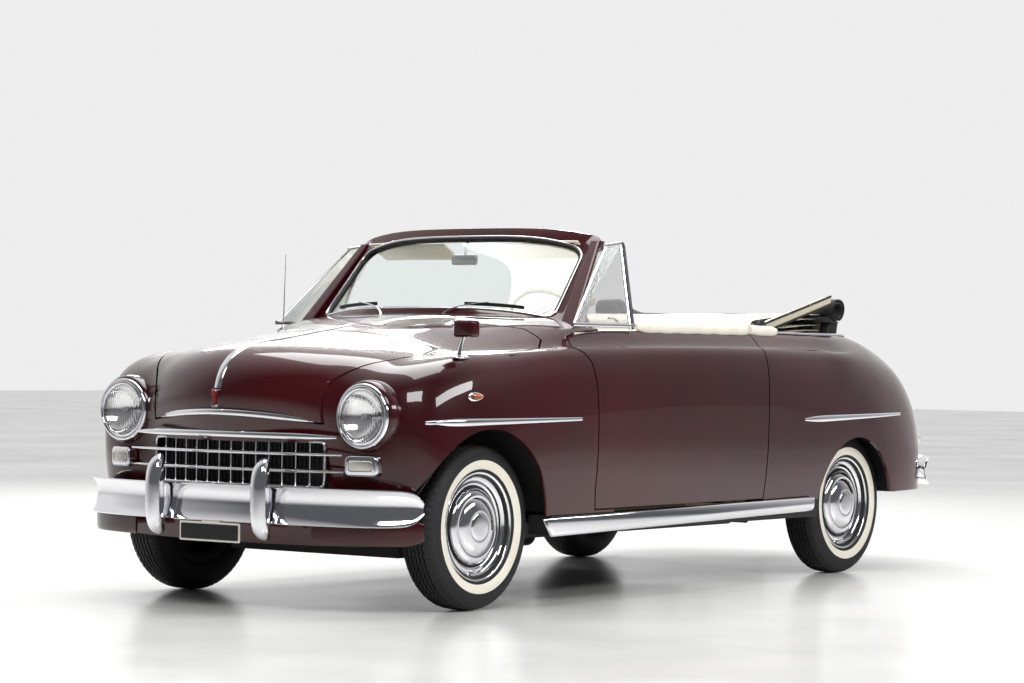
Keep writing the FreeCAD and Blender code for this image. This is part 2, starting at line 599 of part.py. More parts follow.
def wheel_shapes():
    """A tyre and a pressed wheel on the left side, centred on the middle of the tread."""
    centre = vec(0, 0, 0)
    seat = RIM_SEAT_RADIUS
    flange_x = RIM_HALF_WIDTH - RIM_FLANGE
    half = TYRE_WIDTH / 2.0
    side = [(flange_x - TYRE_SEAT_GAP, seat + TYRE_SEAT_GAP),
            (flange_x - TYRE_SEAT_GAP, RIM_FLANGE_RADIUS + 1),
            (half - 9, RIM_FLANGE_RADIUS + 14), (half - 2, TYRE_RADIUS - 72), (half, TYRE_RADIUS - 56),
            (half - 3, TYRE_RADIUS - 32), (half - 12, TYRE_RADIUS - 13), (half - 26, TYRE_RADIUS - 3),
            (half - 42, TYRE_RADIUS)]
    tyre = revolve_x(side + [(-x, r) for x, r in side[::-1]], 1, centre)
    rim = [(flange_x, seat), (flange_x, RIM_FLANGE_RADIUS), (RIM_HALF_WIDTH, RIM_FLANGE_RADIUS),
           (RIM_HALF_WIDTH, seat - RIM_WALL + 5), (RIM_HALF_WIDTH - 8, seat - RIM_WALL)]
    barrel = revolve_x(rim + [(-x, r) for x, r in rim[::-1]], 1, centre)
    disc = tube(seat - 1, STUB_RADIUS + 2, WHEEL_DISC, vec(DISC_X, 0, 0), vec(1, 0, 0))
    hub = cyl(HUB_RADIUS, HUB_LENGTH, vec(DISC_X - HUB_LENGTH + 22, 0, 0), vec(1, 0, 0))
    drum = tube(DRUM_RADIUS, DRUM_RADIUS - 8, 46, vec(DISC_X - 46, 0, 0), vec(1, 0, 0))
    drum_back = tube(DRUM_RADIUS, HUB_RADIUS - 2, 6, vec(DISC_X - 6, 0, 0), vec(1, 0, 0))
    bore_start = vec(DISC_X - HUB_LENGTH - 20, 0, 0)
    bore = cyl(STUB_RADIUS + RUNNING_FIT, HUB_LENGTH + 20 + STUB_OVER + 1, bore_start, vec(1, 0, 0))
    wheel = join([barrel, disc, hub, drum, drum_back]).cut(bore)
    rise = DISC_X + WHEEL_DISC + HUBCAP_GAP
    cap_profile = [(rise, HUBCAP_RADIUS), (rise + 12, HUBCAP_RADIUS), (rise + 24, HUBCAP_RADIUS - 14),
                   (rise + 30, HUBCAP_RADIUS - 34), (rise + 36, 70), (rise + HUBCAP_BULGE, 50),
                   (rise + HUBCAP_BULGE, 0), (rise + HUBCAP_BULGE - 4, 0), (rise + HUBCAP_BULGE - 4, 48),
                   (rise + 32, 68), (rise + 26, HUBCAP_RADIUS - 38), (rise + 20, HUBCAP_RADIUS - 18),
                   (rise + 10, HUBCAP_RADIUS - 4), (rise, HUBCAP_RADIUS - 4)]
    cap = revolve_x(cap_profile, 1, centre)
    return tyre, group([wheel, cap])


def running_gear(frame):
    tyre, wheel = wheel_shapes()
    for name, y in (("front", 0.0), ("rear", WHEELBASE)):
        for side, sign in (("left", 1), ("right", -1)):
            for kind, shape in (("tyre", tyre), ("wheel", wheel)):
                placed = shape.copy()
                placed.translate(vec(HALF_TRACK, y, AXLE_Z))
                save(kind + "_" + name + "_" + side, placed if sign == 1 else mirrored(placed))

    stub_end = HALF_TRACK + DISC_X + STUB_OVER
    post = box(KINGPIN_X - KNUCKLE_HALF + 10, KINGPIN_X + KNUCKLE_HALF - 4, -22, 22,
               AXLE_Z - 74, AXLE_Z + 96)
    stub = cyl(STUB_RADIUS, stub_end - KINGPIN_X, vec(KINGPIN_X, 0, AXLE_Z), vec(1, 0, 0))
    steer_arm = box(KINGPIN_X - 40, KINGPIN_X + 6, 0, 120, AXLE_Z - 60, AXLE_Z - 44)
    knuckle = join([post, stub, steer_arm])
    save("knuckle_left", knuckle)
    save("knuckle_right", mirrored(knuckle))

    low_z = AXLE_Z - 74 - SEAT_GAP
    high_z = AXLE_Z + 96 + SEAT_GAP
    lower = box(RAIL_X + RAIL_WIDTH - 60, KINGPIN_X + 14, -34, 34, low_z - 20, low_z)
    upper = box(RAIL_X + RAIL_WIDTH + 20, KINGPIN_X + 14, -26, 26, high_z, high_z + 16)
    tower = box(RAIL_X + RAIL_WIDTH, RAIL_X + RAIL_WIDTH + 26, -60, 60, RAIL_Z, high_z + 16)
    beam = box(-RAIL_X - RAIL_WIDTH - 1, RAIL_X + RAIL_WIDTH + 1, -60, 58, RAIL_Z - 40, RAIL_Z)
    half = join([lower, upper, tower])
    save("front_suspension", biggest(join([half, mirrored(half), beam]).cut(frame)))

    tube_end = HALF_TRACK - 42
    axle = [cyl(AXLE_TUBE_RADIUS, 2 * tube_end, vec(-tube_end, WHEELBASE, AXLE_Z), vec(1, 0, 0)),
            Part.makeSphere(DIFF_RADIUS, vec(0, WHEELBASE, AXLE_Z), vec(1, 0, 0)),
            cyl(STUB_RADIUS, 2 * stub_end, vec(-stub_end, WHEELBASE, AXLE_Z), vec(1, 0, 0))]
    save("rear_axle", join(axle))
    spring_x = RAIL_X + RAIL_WIDTH + 60
    seat_z = AXLE_Z - AXLE_TUBE_RADIUS - SEAT_GAP
    spring = box(spring_x, spring_x + 50, WHEELBASE - 460 + SEAT_GAP, WHEELBASE + 450 - SEAT_GAP,
                 seat_z - 26, seat_z)
    save("rear_springs", group([spring, mirrored(spring)]))


def drive_line():
    engine = box(-160, 160, -230, FIREWALL_Y - 35, FLOOR_Z, 860)
    gearbox = box(-95, 95, FIREWALL_Y - 130, 880, RAIL_Z - 10, FLOOR_Z - SEAT_GAP)
    bell = box(-95, 95, FIREWALL_Y - 130, FIREWALL_Y - 35, RAIL_Z - 10, FLOOR_Z)
    save("engine_block", join([engine, gearbox, bell]))
    ball = vec(0, WHEELBASE, AXLE_Z)
    shaft = rod(vec(0, 882, 200), vec(0, WHEELBASE - 90, AXLE_Z - 40), 26)
    save("propeller_shaft", biggest(shaft.cut(Part.makeSphere(DIFF_RADIUS + SEAT_GAP, ball))))
    pipe_z = RAIL_Z - PIPE_RADIUS - SEAT_GAP
    pipe = rod(vec(-230, 120, pipe_z), vec(-230, REAR_END + TAIL_SHIFT - 60, pipe_z), PIPE_RADIUS)
    silencer_z = pipe_z - SILENCER_DROP
    silencer = rod(vec(-230, 1150, silencer_z), vec(-230, 1620, silencer_z), SILENCER_RADIUS)
    tip_end = REAR_END + TAIL_SHIFT - 60
    tip = rod(vec(-230, tip_end - TIP_LENGTH, pipe_z), vec(-230, tip_end, pipe_z), TIP_RADIUS)
    save("exhaust", join([pipe, silencer, tip]))
    tail = RAIL_REAR_Y + TAIL_SHIFT
    tank_top = RAIL_TAIL_Z + 50 - SEAT_GAP
    save("fuel_tank", box(-250, 250, tail - 420, tail - 90, TAIL_BOTTOM_Z - 70, tank_top))


def inside_body(block):
    """The part of a block that lies within the body's skin, just clear of it."""
    return skin_solid(SKIN + SEAT_GAP).common(block)


def inner_panels():
    parts = []
    for y, radius, x0, x1 in ((0.0, 385.0, 424.0, 792.0), (WHEELBASE, 352.0, 568.0, 792.0)):
        start = vec(x0, y, AXLE_Z)
        ring = tube(radius + 5, radius, x1 - x0, start, vec(1, 0, 0))
        wall = cyl(radius + 5, 5, start, vec(1, 0, 0))
        low = box(0, 900, y - 500, y + 500, 0, AXLE_Z + 40)
        liner = ring.fuse(wall).cut(low)
        liner = liner.cut(box(0, RAIL_X + RAIL_WIDTH + 60, y - 80, y + 80, 0, AXLE_Z + 140))
        liner = biggest(inside_body(liner))
        parts += [liner, mirrored(liner)]
    ledge_skin = inside_body(box(-760, 760, -200, REAR_END, 700, 1200)).cut(skin_solid(SKIN + SEAT_GAP + 8))
    for zone in (box(588, 680, -160, 120, 800, 1200),
                 box(TRUNK_HALF_WIDTH - 30, TRUNK_HALF_WIDTH + 40, TRUNK_FRONT_Y + TAIL_SHIFT + 40,
                     TRUNK_FRONT_Y + TAIL_SHIFT + 300, 700, 1200)):
        ledge = biggest(ledge_skin.common(zone))
        parts += [ledge, mirrored(ledge)]
    save("inner_panels", group(parts))


def cabin():
    outline = box(-FLOOR_HALF_WIDTH, FLOOR_HALF_WIDTH, FIREWALL_Y, FIREWALL_Y + 20, FLOOR_TOP, 1300)
    save("firewall", biggest(inside_body(outline)))
    column_cut = rod(vec(COLUMN_X, 400, column_z(400)), vec(COLUMN_X, 900, column_z(900)),
                     COLUMN_RADIUS + SEAT_GAP)
    dash = box(-FLOOR_HALF_WIDTH, FLOOR_HALF_WIDTH, 640, 735, 840, 1300)
    save("dashboard", biggest(inside_body(dash).cut(column_cut)))
    lean = math.radians(COLUMN_ANGLE)
    axis = vec(0, math.cos(lean), math.sin(lean))
    centre = wheel_centre()
    column = rod(vec(COLUMN_X, FIREWALL_Y - 40, column_z(FIREWALL_Y - 40)),
                 centre.sub(axis * (STEER_HUB_BACK + SEAT_GAP)), COLUMN_RADIUS)
    pin = cyl(STEER_PIN_RADIUS, STEER_HUB_BACK + 6, centre.sub(axis * (STEER_HUB_BACK + 2)), axis)
    column = column.fuse(pin).cut(box(-900, 900, 0, FIREWALL_Y + 20 + SEAT_GAP, 0, 2000))
    save("steering_column", column)
    seats = []
    for x0 in (60.0, -630.0):
        base = box(x0, x0 + 570, 1010, 1560, FLOOR_TOP + SEAT_GAP, 640)
        back = prism_x([(1500, 640 - 1), (1560, 640 - 1), (1690, 1045), (1600, 1045)], x0, x0 + 570)
        seats.append(base.fuse(back))
    save("front_seats", group(seats))
    rear_y = CABIN_REAR_Y + TAIL_SHIFT - 180
    base = box(-555, 555, rear_y - 300, rear_y + 60, FLOOR_TOP + SEAT_GAP, 640)
    riser_front = FLOOR_REAR_Y - 24 - SEAT_GAP
    back = prism_x([(rear_y - 10, 640 - 1), (riser_front - 60, 640 - 1), (riser_front - 4, REAR_SEAT_TOP_Z),
                    (riser_front - 90, REAR_SEAT_TOP_Z)], -555, 555)
    save("rear_seat", base.common(box(-600, 600, 0, riser_front, 0, 2000)).fuse(back))


def wheel_centre():
    lean = math.radians(COLUMN_ANGLE)
    top_y, top_z = STEER_TOP
    return vec(COLUMN_X, top_y + STEER_RADIUS * math.sin(lean), top_z - STEER_RADIUS * math.cos(lean))


def column_z(y):
    centre = wheel_centre()
    return centre.z + (y - centre.y) * math.tan(math.radians(COLUMN_ANGLE))


def steering_wheel():
    lean = math.radians(COLUMN_ANGLE)
    axis = vec(0, math.cos(lean), math.sin(lean))
    centre = wheel_centre()
    across = vec(1, 0, 0)
    up = vec(0, -math.sin(lean), math.cos(lean))
    rim = Part.makeTorus(STEER_RADIUS - 10, 10, centre, axis)
    hub = cyl(30, STEER_HUB_BACK + 22, centre.sub(axis * STEER_HUB_BACK), axis)
    parts = [rim, hub]
    for along in (across, across * -1, up * -1):
        parts.append(rod(centre, centre.add(along * (STEER_RADIUS - 10)), 7))
    bore_start = centre.sub(axis * (STEER_HUB_BACK + 1))
    bore = cyl(STEER_PIN_RADIUS + 5 * RUNNING_FIT, STEER_HUB_BACK + 6, bore_start, axis)
    save("steering_wheel", join(parts).cut(bore))


def span(half, mid_y, mid_z, end_y, end_z):
    """A bow across the car, furthest forward at its middle."""
    points = []
    for i in range(-4, 5):
        t = i / 4.0
        points.append(vec(half * t, mid_y + (end_y - mid_y) * t * t, mid_z + (end_z - mid_z) * t ** 4))
    curve = Part.BSplineCurve()
    curve.interpolate(points)
    return curve.toShape()


def glass_normal():
    y, z = GLASS_RAKE
    return vec(0, y, z)


def windshield_slab():
    low_out = span(664, 512, 1062, 650, 998)
    top_out = span(598, 893, 1430, 968, 1388)
    return Part.makeRuledSurface(low_out, top_out).extrude(glass_normal() * -34.0)


def windshield():
    """A curved pane raked back from the cowl, in a painted frame with a pillar at each side."""
    normal = glass_normal()
    low_in = span(572, 540, 1101, 667, 1062)
    top_in = span(546, 862, 1392, 912, 1335)
    slab = windshield_slab()
    hole = Part.makeRuledSurface(low_in, top_in).extrude(normal * -260)
    hole.translate(normal * 130)
    foot_front = PILLAR_FRONT_Y
    foot = Part.makePolygon([vec(640, foot_front, 930), vec(712, foot_front + 10, 930),
                             vec(712, foot_front + 96, 930), vec(640, foot_front + 110, 930),
                             vec(640, foot_front, 930)])
    top = Part.makePolygon([vec(556, 930, 1372), vec(598, 934, 1372), vec(600, 972, 1372),
                            vec(556, 972, 1372), vec(556, 930, 1372)])
    pillar = Part.makeLoft([foot, top], True, True)
    frame = slab.cut(hole)
    pillar_outside = pillar.cut(hole)
    frame = join([frame, pillar_outside, mirrored(pillar_outside)])
    clear = skin_solid(-SEAT_GAP)
    frame = biggest(frame.cut(clear))
    save("windshield_frame", frame)
    low = span(572 - SEAT_GAP, 541, 1101.6, 667.4, 1062.6)
    top_edge = span(546 - SEAT_GAP, 861.5, 1391.4, 911.5, 1334.4)
    glass = Part.makeRuledSurface(low, top_edge).extrude(normal * -GLASS_THICK)
    glass.translate(normal * -8)
    save("windshield_glass", biggest(glass.cut(frame).cut(clear)))
    return frame


def vent_windows():
    """A fixed-height chrome frame with its quarter pane on each door."""
    def corner(y, z):
        return vec(735 - (z - 1036) * 0.2875, y, z)

    outline = [(560, 990), (954, 990), (1026, 1366), (921, 1352)]
    inner = [(608, 1050), (948, 1050), (1006, 1351), (930, 1340)]
    across = vec(-14, 0, -4)
    frame = prism([corner(y, z) for y, z in outline], across)
    hole = prism([corner(y, z) + vec(20, 0, 6) for y, z in inner], across * 4)
    frame = biggest(frame.cut(hole).cut(skin_solid(-SEAT_GAP)))
    save("vent_frame_left", frame)
    save("vent_frame_right", mirrored(frame))
    pane = prism([corner(y, z) + vec(-5, 0, -1.5) for y, z in inner], vec(-4, 0, -1.2))
    pane = pane.cut(frame)
    save("vent_glass_left", pane)
    save("vent_glass_right", mirrored(pane))


def bumper_band(points, thick, low, high):
    """A plan curve through the points, thickened towards the car and raised to height."""
    full = [vec(-x, y, low) for x, y in points[:0:-1]] + [vec(x, y, low) for x, y in points]
    curve = Part.BSplineCurve()
    curve.interpolate(full)
    toward = 1 if points[-1][1] > points[0][1] else -1
    inner = Part.BSplineCurve()
    inner.interpolate([vec(p.x * (1 - thick / 800.0), p.y + toward * thick, low) for p in full])
    a = curve.toShape()
    b = inner.toShape()
    ends = [Part.makeLine(a.Vertexes[0].Point, b.Vertexes[0].Point),
            Part.makeLine(a.Vertexes[-1].Point, b.Vertexes[-1].Point)]
    face = Part.Face(Part.Wire(Part.sortEdges([a, b] + ends)[0]))
    return face.extrude(vec(0, 0, high - low))


def bumpers():
    front = [(0, -632), (200, -628), (400, -608), (560, -575), (680, -525), (755, -455), (786, -385)]
    blade = bumper_band(front, 16, 316, 447)
    arms = []
    for x in (RAIL_X + 8, -RAIL_X - RAIL_WIDTH + 8):
        arms.append(box(x, x + 44, -612, RAIL_FRONT_Y - SEAT_GAP, RAIL_NOSE_Z + 8, RAIL_NOSE_Z + 48))
    save("front_bumper", join([blade] + arms))
    side = [(-614, 541), (-650, 541), (-664, 520), (-672, 470), (-672, 380), (-660, 320), (-640, 276),
            (-614, 276)]
    room = bumper_band([(x, y - SEAT_GAP) for x, y in front], 90, 316 - SEAT_GAP, 447 + SEAT_GAP)
    guard = biggest(prism_x(side, 218, 284).cut(room))
    save("bumper_guards", group([guard, mirrored(guard)]))

    shift = TAIL_SHIFT
    rear = [(0, 3612), (200, 3608), (400, 3592), (560, 3556), (680, 3490), (755, 3390), (786, 3290)]
    rear = [(x, y + shift) for x, y in rear]
    blade = bumper_band(rear, 16, 362, 490)
    arms = []
    for x in (RAIL_X + 8, -RAIL_X - RAIL_WIDTH + 8):
        arms.append(box(x, x + 44, RAIL_REAR_Y + shift + SEAT_GAP, 3594 + shift,
                        RAIL_TAIL_Z + 2, RAIL_TAIL_Z + 42))
    save("rear_bumper", join([blade] + arms))


def nose_curve(x, centre_y):
    return centre_y + 64.0 * (x / 503.0) ** 2


def grille(nose):
    bars = []
    for z, high, half, centre_y in ((618, 18, 480, -566), (557, 12, 503, -562), (497, 12, 503, -552),
                                    (446, 9, 366, -520)):
        outer = [(x, nose_curve(x, centre_y)) for x in range(-int(half), int(half) + 1, 30)]
        points = [vec(x, y, z) for x, y in outer] + [vec(x, y + 16, z) for x, y in outer[::-1]]
        bars.append(prism(points, vec(0, 0, high)))
    for i in range(-6, 7):
        x = i * 56.0
        top = nose_curve(x, -566) + 6
        low = nose_curve(x, -520) + 4
        bars.append(prism_x([(top, 619), (top + 9, 619), (low + 9, 447), (low, 447)], x - 3, x + 3))
    for z, high, x in ((618, 18, 440), (557, 12, 466), (497, 12, 466)):
        foot = box(x, x + 28, -515, -430, z, z + high)
        bars += [foot, mirrored(foot)]
    skin = skin_solid(-SEAT_GAP)
    opening = prism_y([(-401, 597), (401, 597), (364, 441), (-364, 441)], -900, -200)
    save("grille", biggest(join(bars).cut(skin.cut(opening)).cut(nose)))


def lamps():
    ring = cyl(LAMP_RADIUS, 74, vec(LAMP_X, LAMP_FRONT_Y, LAMP_Z), vec(0, 1, 0))
    bowl = cyl(LAMP_RADIUS - 14, 50, vec(LAMP_X, LAMP_FRONT_Y - 10, LAMP_Z), vec(0, 1, 0))
    ring = ring.cut(bowl)
    save("headlamps", group([ring, mirrored(ring)]))
    radius = LAMP_RADIUS - 14 - SEAT_GAP
    dome_radius = 260.0
    ball = Part.makeSphere(dome_radius, vec(LAMP_X, LAMP_FRONT_Y - 22 + dome_radius, LAMP_Z))
    lens = ball.common(cyl(radius, 36, vec(LAMP_X, LAMP_FRONT_Y - 24, LAMP_Z), vec(0, 1, 0)))
    save("headlamp_lenses", group([lens, mirrored(lens)]))
    lamp = box(526, 626, -492, -430, 501, 553)
    tail = cyl(TAIL_LAMP_RADIUS, 90, tail_lamp_place(-72), vec(0, 1, 0))
    save("signal_lamps", group([lamp, mirrored(lamp), tail, mirrored(tail)]))


def plates():
    front = box(-143, 143, -652 + 22, -626, 243, 312)
    bracket = box(-40, 40, -626, -600, 300, 315.7)
    save("plates", front.fuse(bracket))


def folded_top():
    rear = WELL_REAR_Y + TAIL_SHIFT
    front = CABIN_REAR_Y - 200 + TAIL_SHIFT
    under = REAR_SEAT_TOP_Z + SEAT_GAP
    side = [(front + 10, under), (front + 10, 1050), (front + 60, 1078), (rear - 240, 1092),
            (rear - 60, 1070), (rear - 40, 1020), (rear - 60, SHELF_Z + SEAT_GAP),
            (WHEELBASE - 180, SHELF_Z + SEAT_GAP),
            (FLOOR_REAR_Y + 40 + TAIL_SHIFT, under)]
    pile = prism_x(side, -WELL_HALF_WIDTH + 76, WELL_HALF_WIDTH - 76)
    save("top_lining", pile)
    roll_z = 1092 - 22 * (240 - 136) / 180.0 + ROLL_RADIUS + 2 * SEAT_GAP
    roll = cyl(ROLL_RADIUS, 1260, vec(-630, rear - 136, roll_z), vec(1, 0, 0))
    save("top_roll", roll)
    rail = prism_x([(front - 10, 1036), (front + 30, 1036), (rear - 220, 1172), (rear - 220, 1196),
                    (rear - 250, 1196)], TOP_RAIL_X, TOP_RAIL_X + 34)
    foot = box(TOP_RAIL_X, CABIN_HALF_WIDTH - SEAT_GAP, front + 2, front + 40, 1012, 1042)
    rail = rail.fuse(foot)
    save("top_rails", group([rail, mirrored(rail)]))


def small_pieces(frame):
    base = cyl(26, 10, vec(740, -131, 905), vec(0, 0, 1)).cut(skin_solid(-0.2))
    arm = rod(vec(740, -131, 908), vec(752, -128, 985), 6).cut(skin_solid(-0.2))
    shell = box(714, 806, -160, -112, 985, 1050)
    save("fender_mirror", biggest(join([base, arm, shell])))
    stem = rod(vec(0, 884, 1384), vec(0, 864, 1318), 5).cut(frame)
    glass = box(-62, 62, 846, 868, 1276, 1322)
    save("interior_mirror", stem.fuse(glass))


if __name__ == "__main__":
    os.makedirs("parts", exist_ok=True)
    nose = body_panels()
    running_gear(frame_and_floor())
    drive_line()
    inner_panels()
    cabin()
    steering_wheel()
    frame = windshield()
    vent_windows()
    bumpers()
    grille(nose)
    lamps()
    plates()
    folded_top()
    small_pieces(frame)
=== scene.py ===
"""Open two-door car of the 1950s: paint, chrome, trim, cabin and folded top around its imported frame."""
import math

import bmesh
import bpy
import numpy as np
from mathutils import Matrix, Vector


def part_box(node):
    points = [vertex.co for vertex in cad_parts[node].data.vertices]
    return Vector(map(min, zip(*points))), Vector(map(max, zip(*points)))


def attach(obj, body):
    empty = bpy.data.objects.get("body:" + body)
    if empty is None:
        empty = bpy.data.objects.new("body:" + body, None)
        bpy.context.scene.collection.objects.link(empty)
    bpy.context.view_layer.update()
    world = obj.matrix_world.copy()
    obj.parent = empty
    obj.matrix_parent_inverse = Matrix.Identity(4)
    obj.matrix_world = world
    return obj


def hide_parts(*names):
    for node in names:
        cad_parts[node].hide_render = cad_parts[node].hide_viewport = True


bl_info = {
    "name": "Open Car Builder",
    "version": (1, 0, 0),
    "blender": (4, 5, 0),
    "location": "View3D > Sidebar > Open Car",
    "description": "Builds the visible pieces of an open two-door car around its frame",
    "category": "Object",
}

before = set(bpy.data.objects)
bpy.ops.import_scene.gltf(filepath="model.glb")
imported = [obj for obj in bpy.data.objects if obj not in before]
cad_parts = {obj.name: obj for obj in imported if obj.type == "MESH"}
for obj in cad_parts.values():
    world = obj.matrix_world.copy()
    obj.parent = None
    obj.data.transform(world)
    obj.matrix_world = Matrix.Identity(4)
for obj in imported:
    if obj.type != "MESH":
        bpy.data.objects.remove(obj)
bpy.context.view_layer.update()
MM = 0.001
MID_Y = 1470.0          # mm from the front axle to the middle of the car
WHEELBASE = 2650.0
AXLE_Z = 303.0
HALF_TRACK = 663.0
FAN_STEP = 6.5          # station length that stands for one degree around an axle
PANEL_THICK = 14.0
SHUT_GAP = 7.0
WAVE_UNIT = 0.3183      # wave texture scale that sets ridges about one metre apart


# ---- places and small helpers ----
def at(x, y, z):
    """A place in mm from the front axle's middle, on the ground, as metres in the frame of the part."""
    return Vector((x * MM, (y - MID_Y) * MM, z * MM))


def linear(code):
    """An sRGB hex colour as linear values."""
    values = [int(code[i:i + 2], 16) / 255 for i in (1, 3, 5)]
    return tuple(v / 12.92 if v <= 0.04045 else ((v + 0.055) / 1.055) ** 2.4 for v in values) + (1.0,)


def add_node(tree, kind, links=None, **settings):
    """Adds a node, sets its properties and inputs, and links any input that is given a socket."""
    node = tree.nodes.new(kind)
    for key, value in settings.items():
        setattr(node, key, value)
    for key, value in (links or {}).items():
        if isinstance(value, bpy.types.NodeSocket):
            tree.links.new(value, node.inputs[key])
        else:
            node.inputs[key].default_value = value
    return node


def new_material(name, colour, **shader):
    """A material with one Principled shader; returns it with its tree and shader."""
    material = bpy.data.materials.new(name)
    material.use_nodes = True
    tree = material.node_tree
    tree.nodes.clear()
    principled = add_node(tree, "ShaderNodeBsdfPrincipled", {"Base Color": linear(colour)})
    for key, value in shader.items():
        principled.inputs[key.replace("_", " ")].default_value = value
    add_node(tree, "ShaderNodeOutputMaterial", {"Surface": principled.outputs[0]})
    return material, tree, principled


def object_place(tree):
    """Object coordinates through a Mapping node."""
    source = add_node(tree, "ShaderNodeTexCoord")
    place = add_node(tree, "ShaderNodeMapping", {"Vector": source.outputs["Object"]})
    return place.outputs[0]


def speckle(tree, vector, scale, detail=3.0, rough=0.55):
    """Soft noise from 0 to 1 over a place."""
    node = add_node(tree, "ShaderNodeTexNoise",
                    {"Vector": vector, "Scale": scale, "Detail": detail, "Roughness": rough})
    return node.outputs["Fac"]


def spread(tree, factor, low, high, start=0.3, end=0.7):
    """Maps a 0 to 1 pattern onto low to high."""
    node = add_node(tree, "ShaderNodeMapRange", {"Value": factor, "From Min": start, "From Max": end,
                                                 "To Min": low, "To Max": high})
    return node.outputs[0]


def blend_colours(tree, factor, dark, light):
    """A ramp between hex colours."""
    ramp = add_node(tree, "ShaderNodeValToRGB", {"Fac": factor})
    ramp.color_ramp.elements[0].color = linear(dark)
    ramp.color_ramp.elements[1].color = linear(light)
    ramp.color_ramp.elements[0].position = 0.3
    ramp.color_ramp.elements[1].position = 0.7
    return ramp.outputs[0]


def raise_surface(tree, principled, height, distance, strength=1.0):
    """Bump from a height pattern; distance is in metres."""
    bump = add_node(tree, "ShaderNodeBump", {"Height": height, "Distance": distance, "Strength": strength})
    tree.links.new(bump.outputs[0], principled.inputs["Normal"])


# ---- finishes ----
MATERIALS = {}


def finish_of(name):
    """A finish by its name."""
    return MATERIALS[name]


def make_paint(name, dark, light, rough=0.34):
    """Enamel under a polished clear film: a deep colour, with the faint waviness of hand-finished steel."""
    material, tree, shader = new_material(name, dark, Roughness=rough, Coat_Weight=1.0,
                                          Coat_Roughness=0.025, Coat_IOR=1.5, Specular_IOR_Level=0.08)
    place = object_place(tree)
    tint = blend_colours(tree, speckle(tree, place, 1.7, 4), dark, light)
    tree.links.new(tint, shader.inputs["Base Color"])
    wave = speckle(tree, place, 7.0, 2)
    bump = add_node(tree, "ShaderNodeBump", {"Height": wave, "Distance": 0.0009, "Strength": 0.5})
    tree.links.new(bump.outputs[0], shader.inputs["Normal"])
    tree.links.new(bump.outputs[0], shader.inputs["Coat Normal"])
    MATERIALS[name] = material


def make_metal(name, colour, rough_low, rough_high, grain=90.0, depth=0.00004):
    """Plated or polished metal: roughness drifts where it was wiped, and fine marks break the shine."""
    material, tree, shader = new_material(name, colour, Metallic=1.0, Roughness=rough_low)
    place = object_place(tree)
    smear = speckle(tree, place, 9.0, 4)
    tree.links.new(spread(tree, smear, rough_low, rough_high), shader.inputs["Roughness"])
    raise_surface(tree, shader, speckle(tree, place, grain, 2), depth, 0.6)
    MATERIALS[name] = material


def make_coating(name, dark, light, rough_low, rough_high, scale=30.0, depth=0.0002):
    """Satin paint or bare moulded surface with dust and fine texture."""
    material, tree, shader = new_material(name, dark, Roughness=rough_low)
    place = object_place(tree)
    dust = speckle(tree, place, 4.0, 6, 0.6)
    tree.links.new(blend_colours(tree, dust, dark, light), shader.inputs["Base Color"])
    tree.links.new(spread(tree, dust, rough_low, rough_high), shader.inputs["Roughness"])
    raise_surface(tree, shader, speckle(tree, place, scale, 3), depth, 0.6)
    MATERIALS[name] = material


def make_glass(name, tint, rough=0.0, ior=1.52, flutes=0.0):
    """Clear or tinted glass; flutes gives the pitch in metres of its pressed ribs."""
    material, tree, shader = new_material(name, tint, Roughness=rough, IOR=ior, Transmission_Weight=1.0)
    place = object_place(tree)
    if flutes:
        ribs = add_node(tree, "ShaderNodeTexWave",
                        {"Vector": place, "Scale": WAVE_UNIT / flutes, "Distortion": 0.4},
                        bands_direction="X", wave_profile="SIN")
        raise_surface(tree, shader, ribs.outputs["Fac"], 0.0012, 0.7)
    else:
        smear = speckle(tree, place, 3.0, 4)
        tree.links.new(spread(tree, smear, rough, rough + 0.02), shader.inputs["Roughness"])
    MATERIALS[name] = material


def make_leather(name, dark, light, pebble=1100.0):
    """Finished hide or its coated cloth: fine pebble grain, soft sheen, darker where it is handled."""
    material, tree, shader = new_material(name, dark, Roughness=0.42, Sheen_Weight=0.08)
    place = object_place(tree)
    tone = speckle(tree, place, 5.0, 5)
    tree.links.new(blend_colours(tree, tone, dark, light), shader.inputs["Base Color"])
    grain = add_node(tree, "ShaderNodeTexVoronoi", {"Vector": place, "Scale": pebble * 0.35},
                     feature="DISTANCE_TO_EDGE")
    tree.links.new(spread(tree, tone, 0.36, 0.5), shader.inputs["Roughness"])
    raise_surface(tree, shader, grain.outputs["Distance"], 0.0006, 0.5)
    MATERIALS[name] = material


def make_cloth(name, dark, light, thread=0.0016, rough=0.9):
    """Woven cloth: two crossed thread waves, drawn coarser than real yarn so that they show."""
    material, tree, shader = new_material(name, dark, Roughness=rough, Sheen_Weight=0.25)
    place = object_place(tree)
    across = add_node(tree, "ShaderNodeTexWave",
                      {"Vector": place, "Scale": WAVE_UNIT / thread, "Distortion": 1.0,
                                                  "Detail": 2.0}, bands_direction="X")
    along = add_node(tree, "ShaderNodeTexWave",
                     {"Vector": place, "Scale": WAVE_UNIT / thread, "Distortion": 1.0,
                                                 "Detail": 2.0}, bands_direction="Y")
    weave = add_node(tree, "ShaderNodeMath", {0: across.outputs["Fac"], 1: along.outputs["Fac"]},
                     operation="MULTIPLY")
    tone = speckle(tree, place, 12.0, 5)
    both = add_node(tree, "ShaderNodeMath", {0: weave.outputs[0], 1: tone}, operation="ADD")
    tree.links.new(blend_colours(tree, both.outputs[0], dark, light), shader.inputs["Base Color"])
    raise_surface(tree, shader, weave.outputs[0], 0.0004, 0.6)
    MATERIALS[name] = material


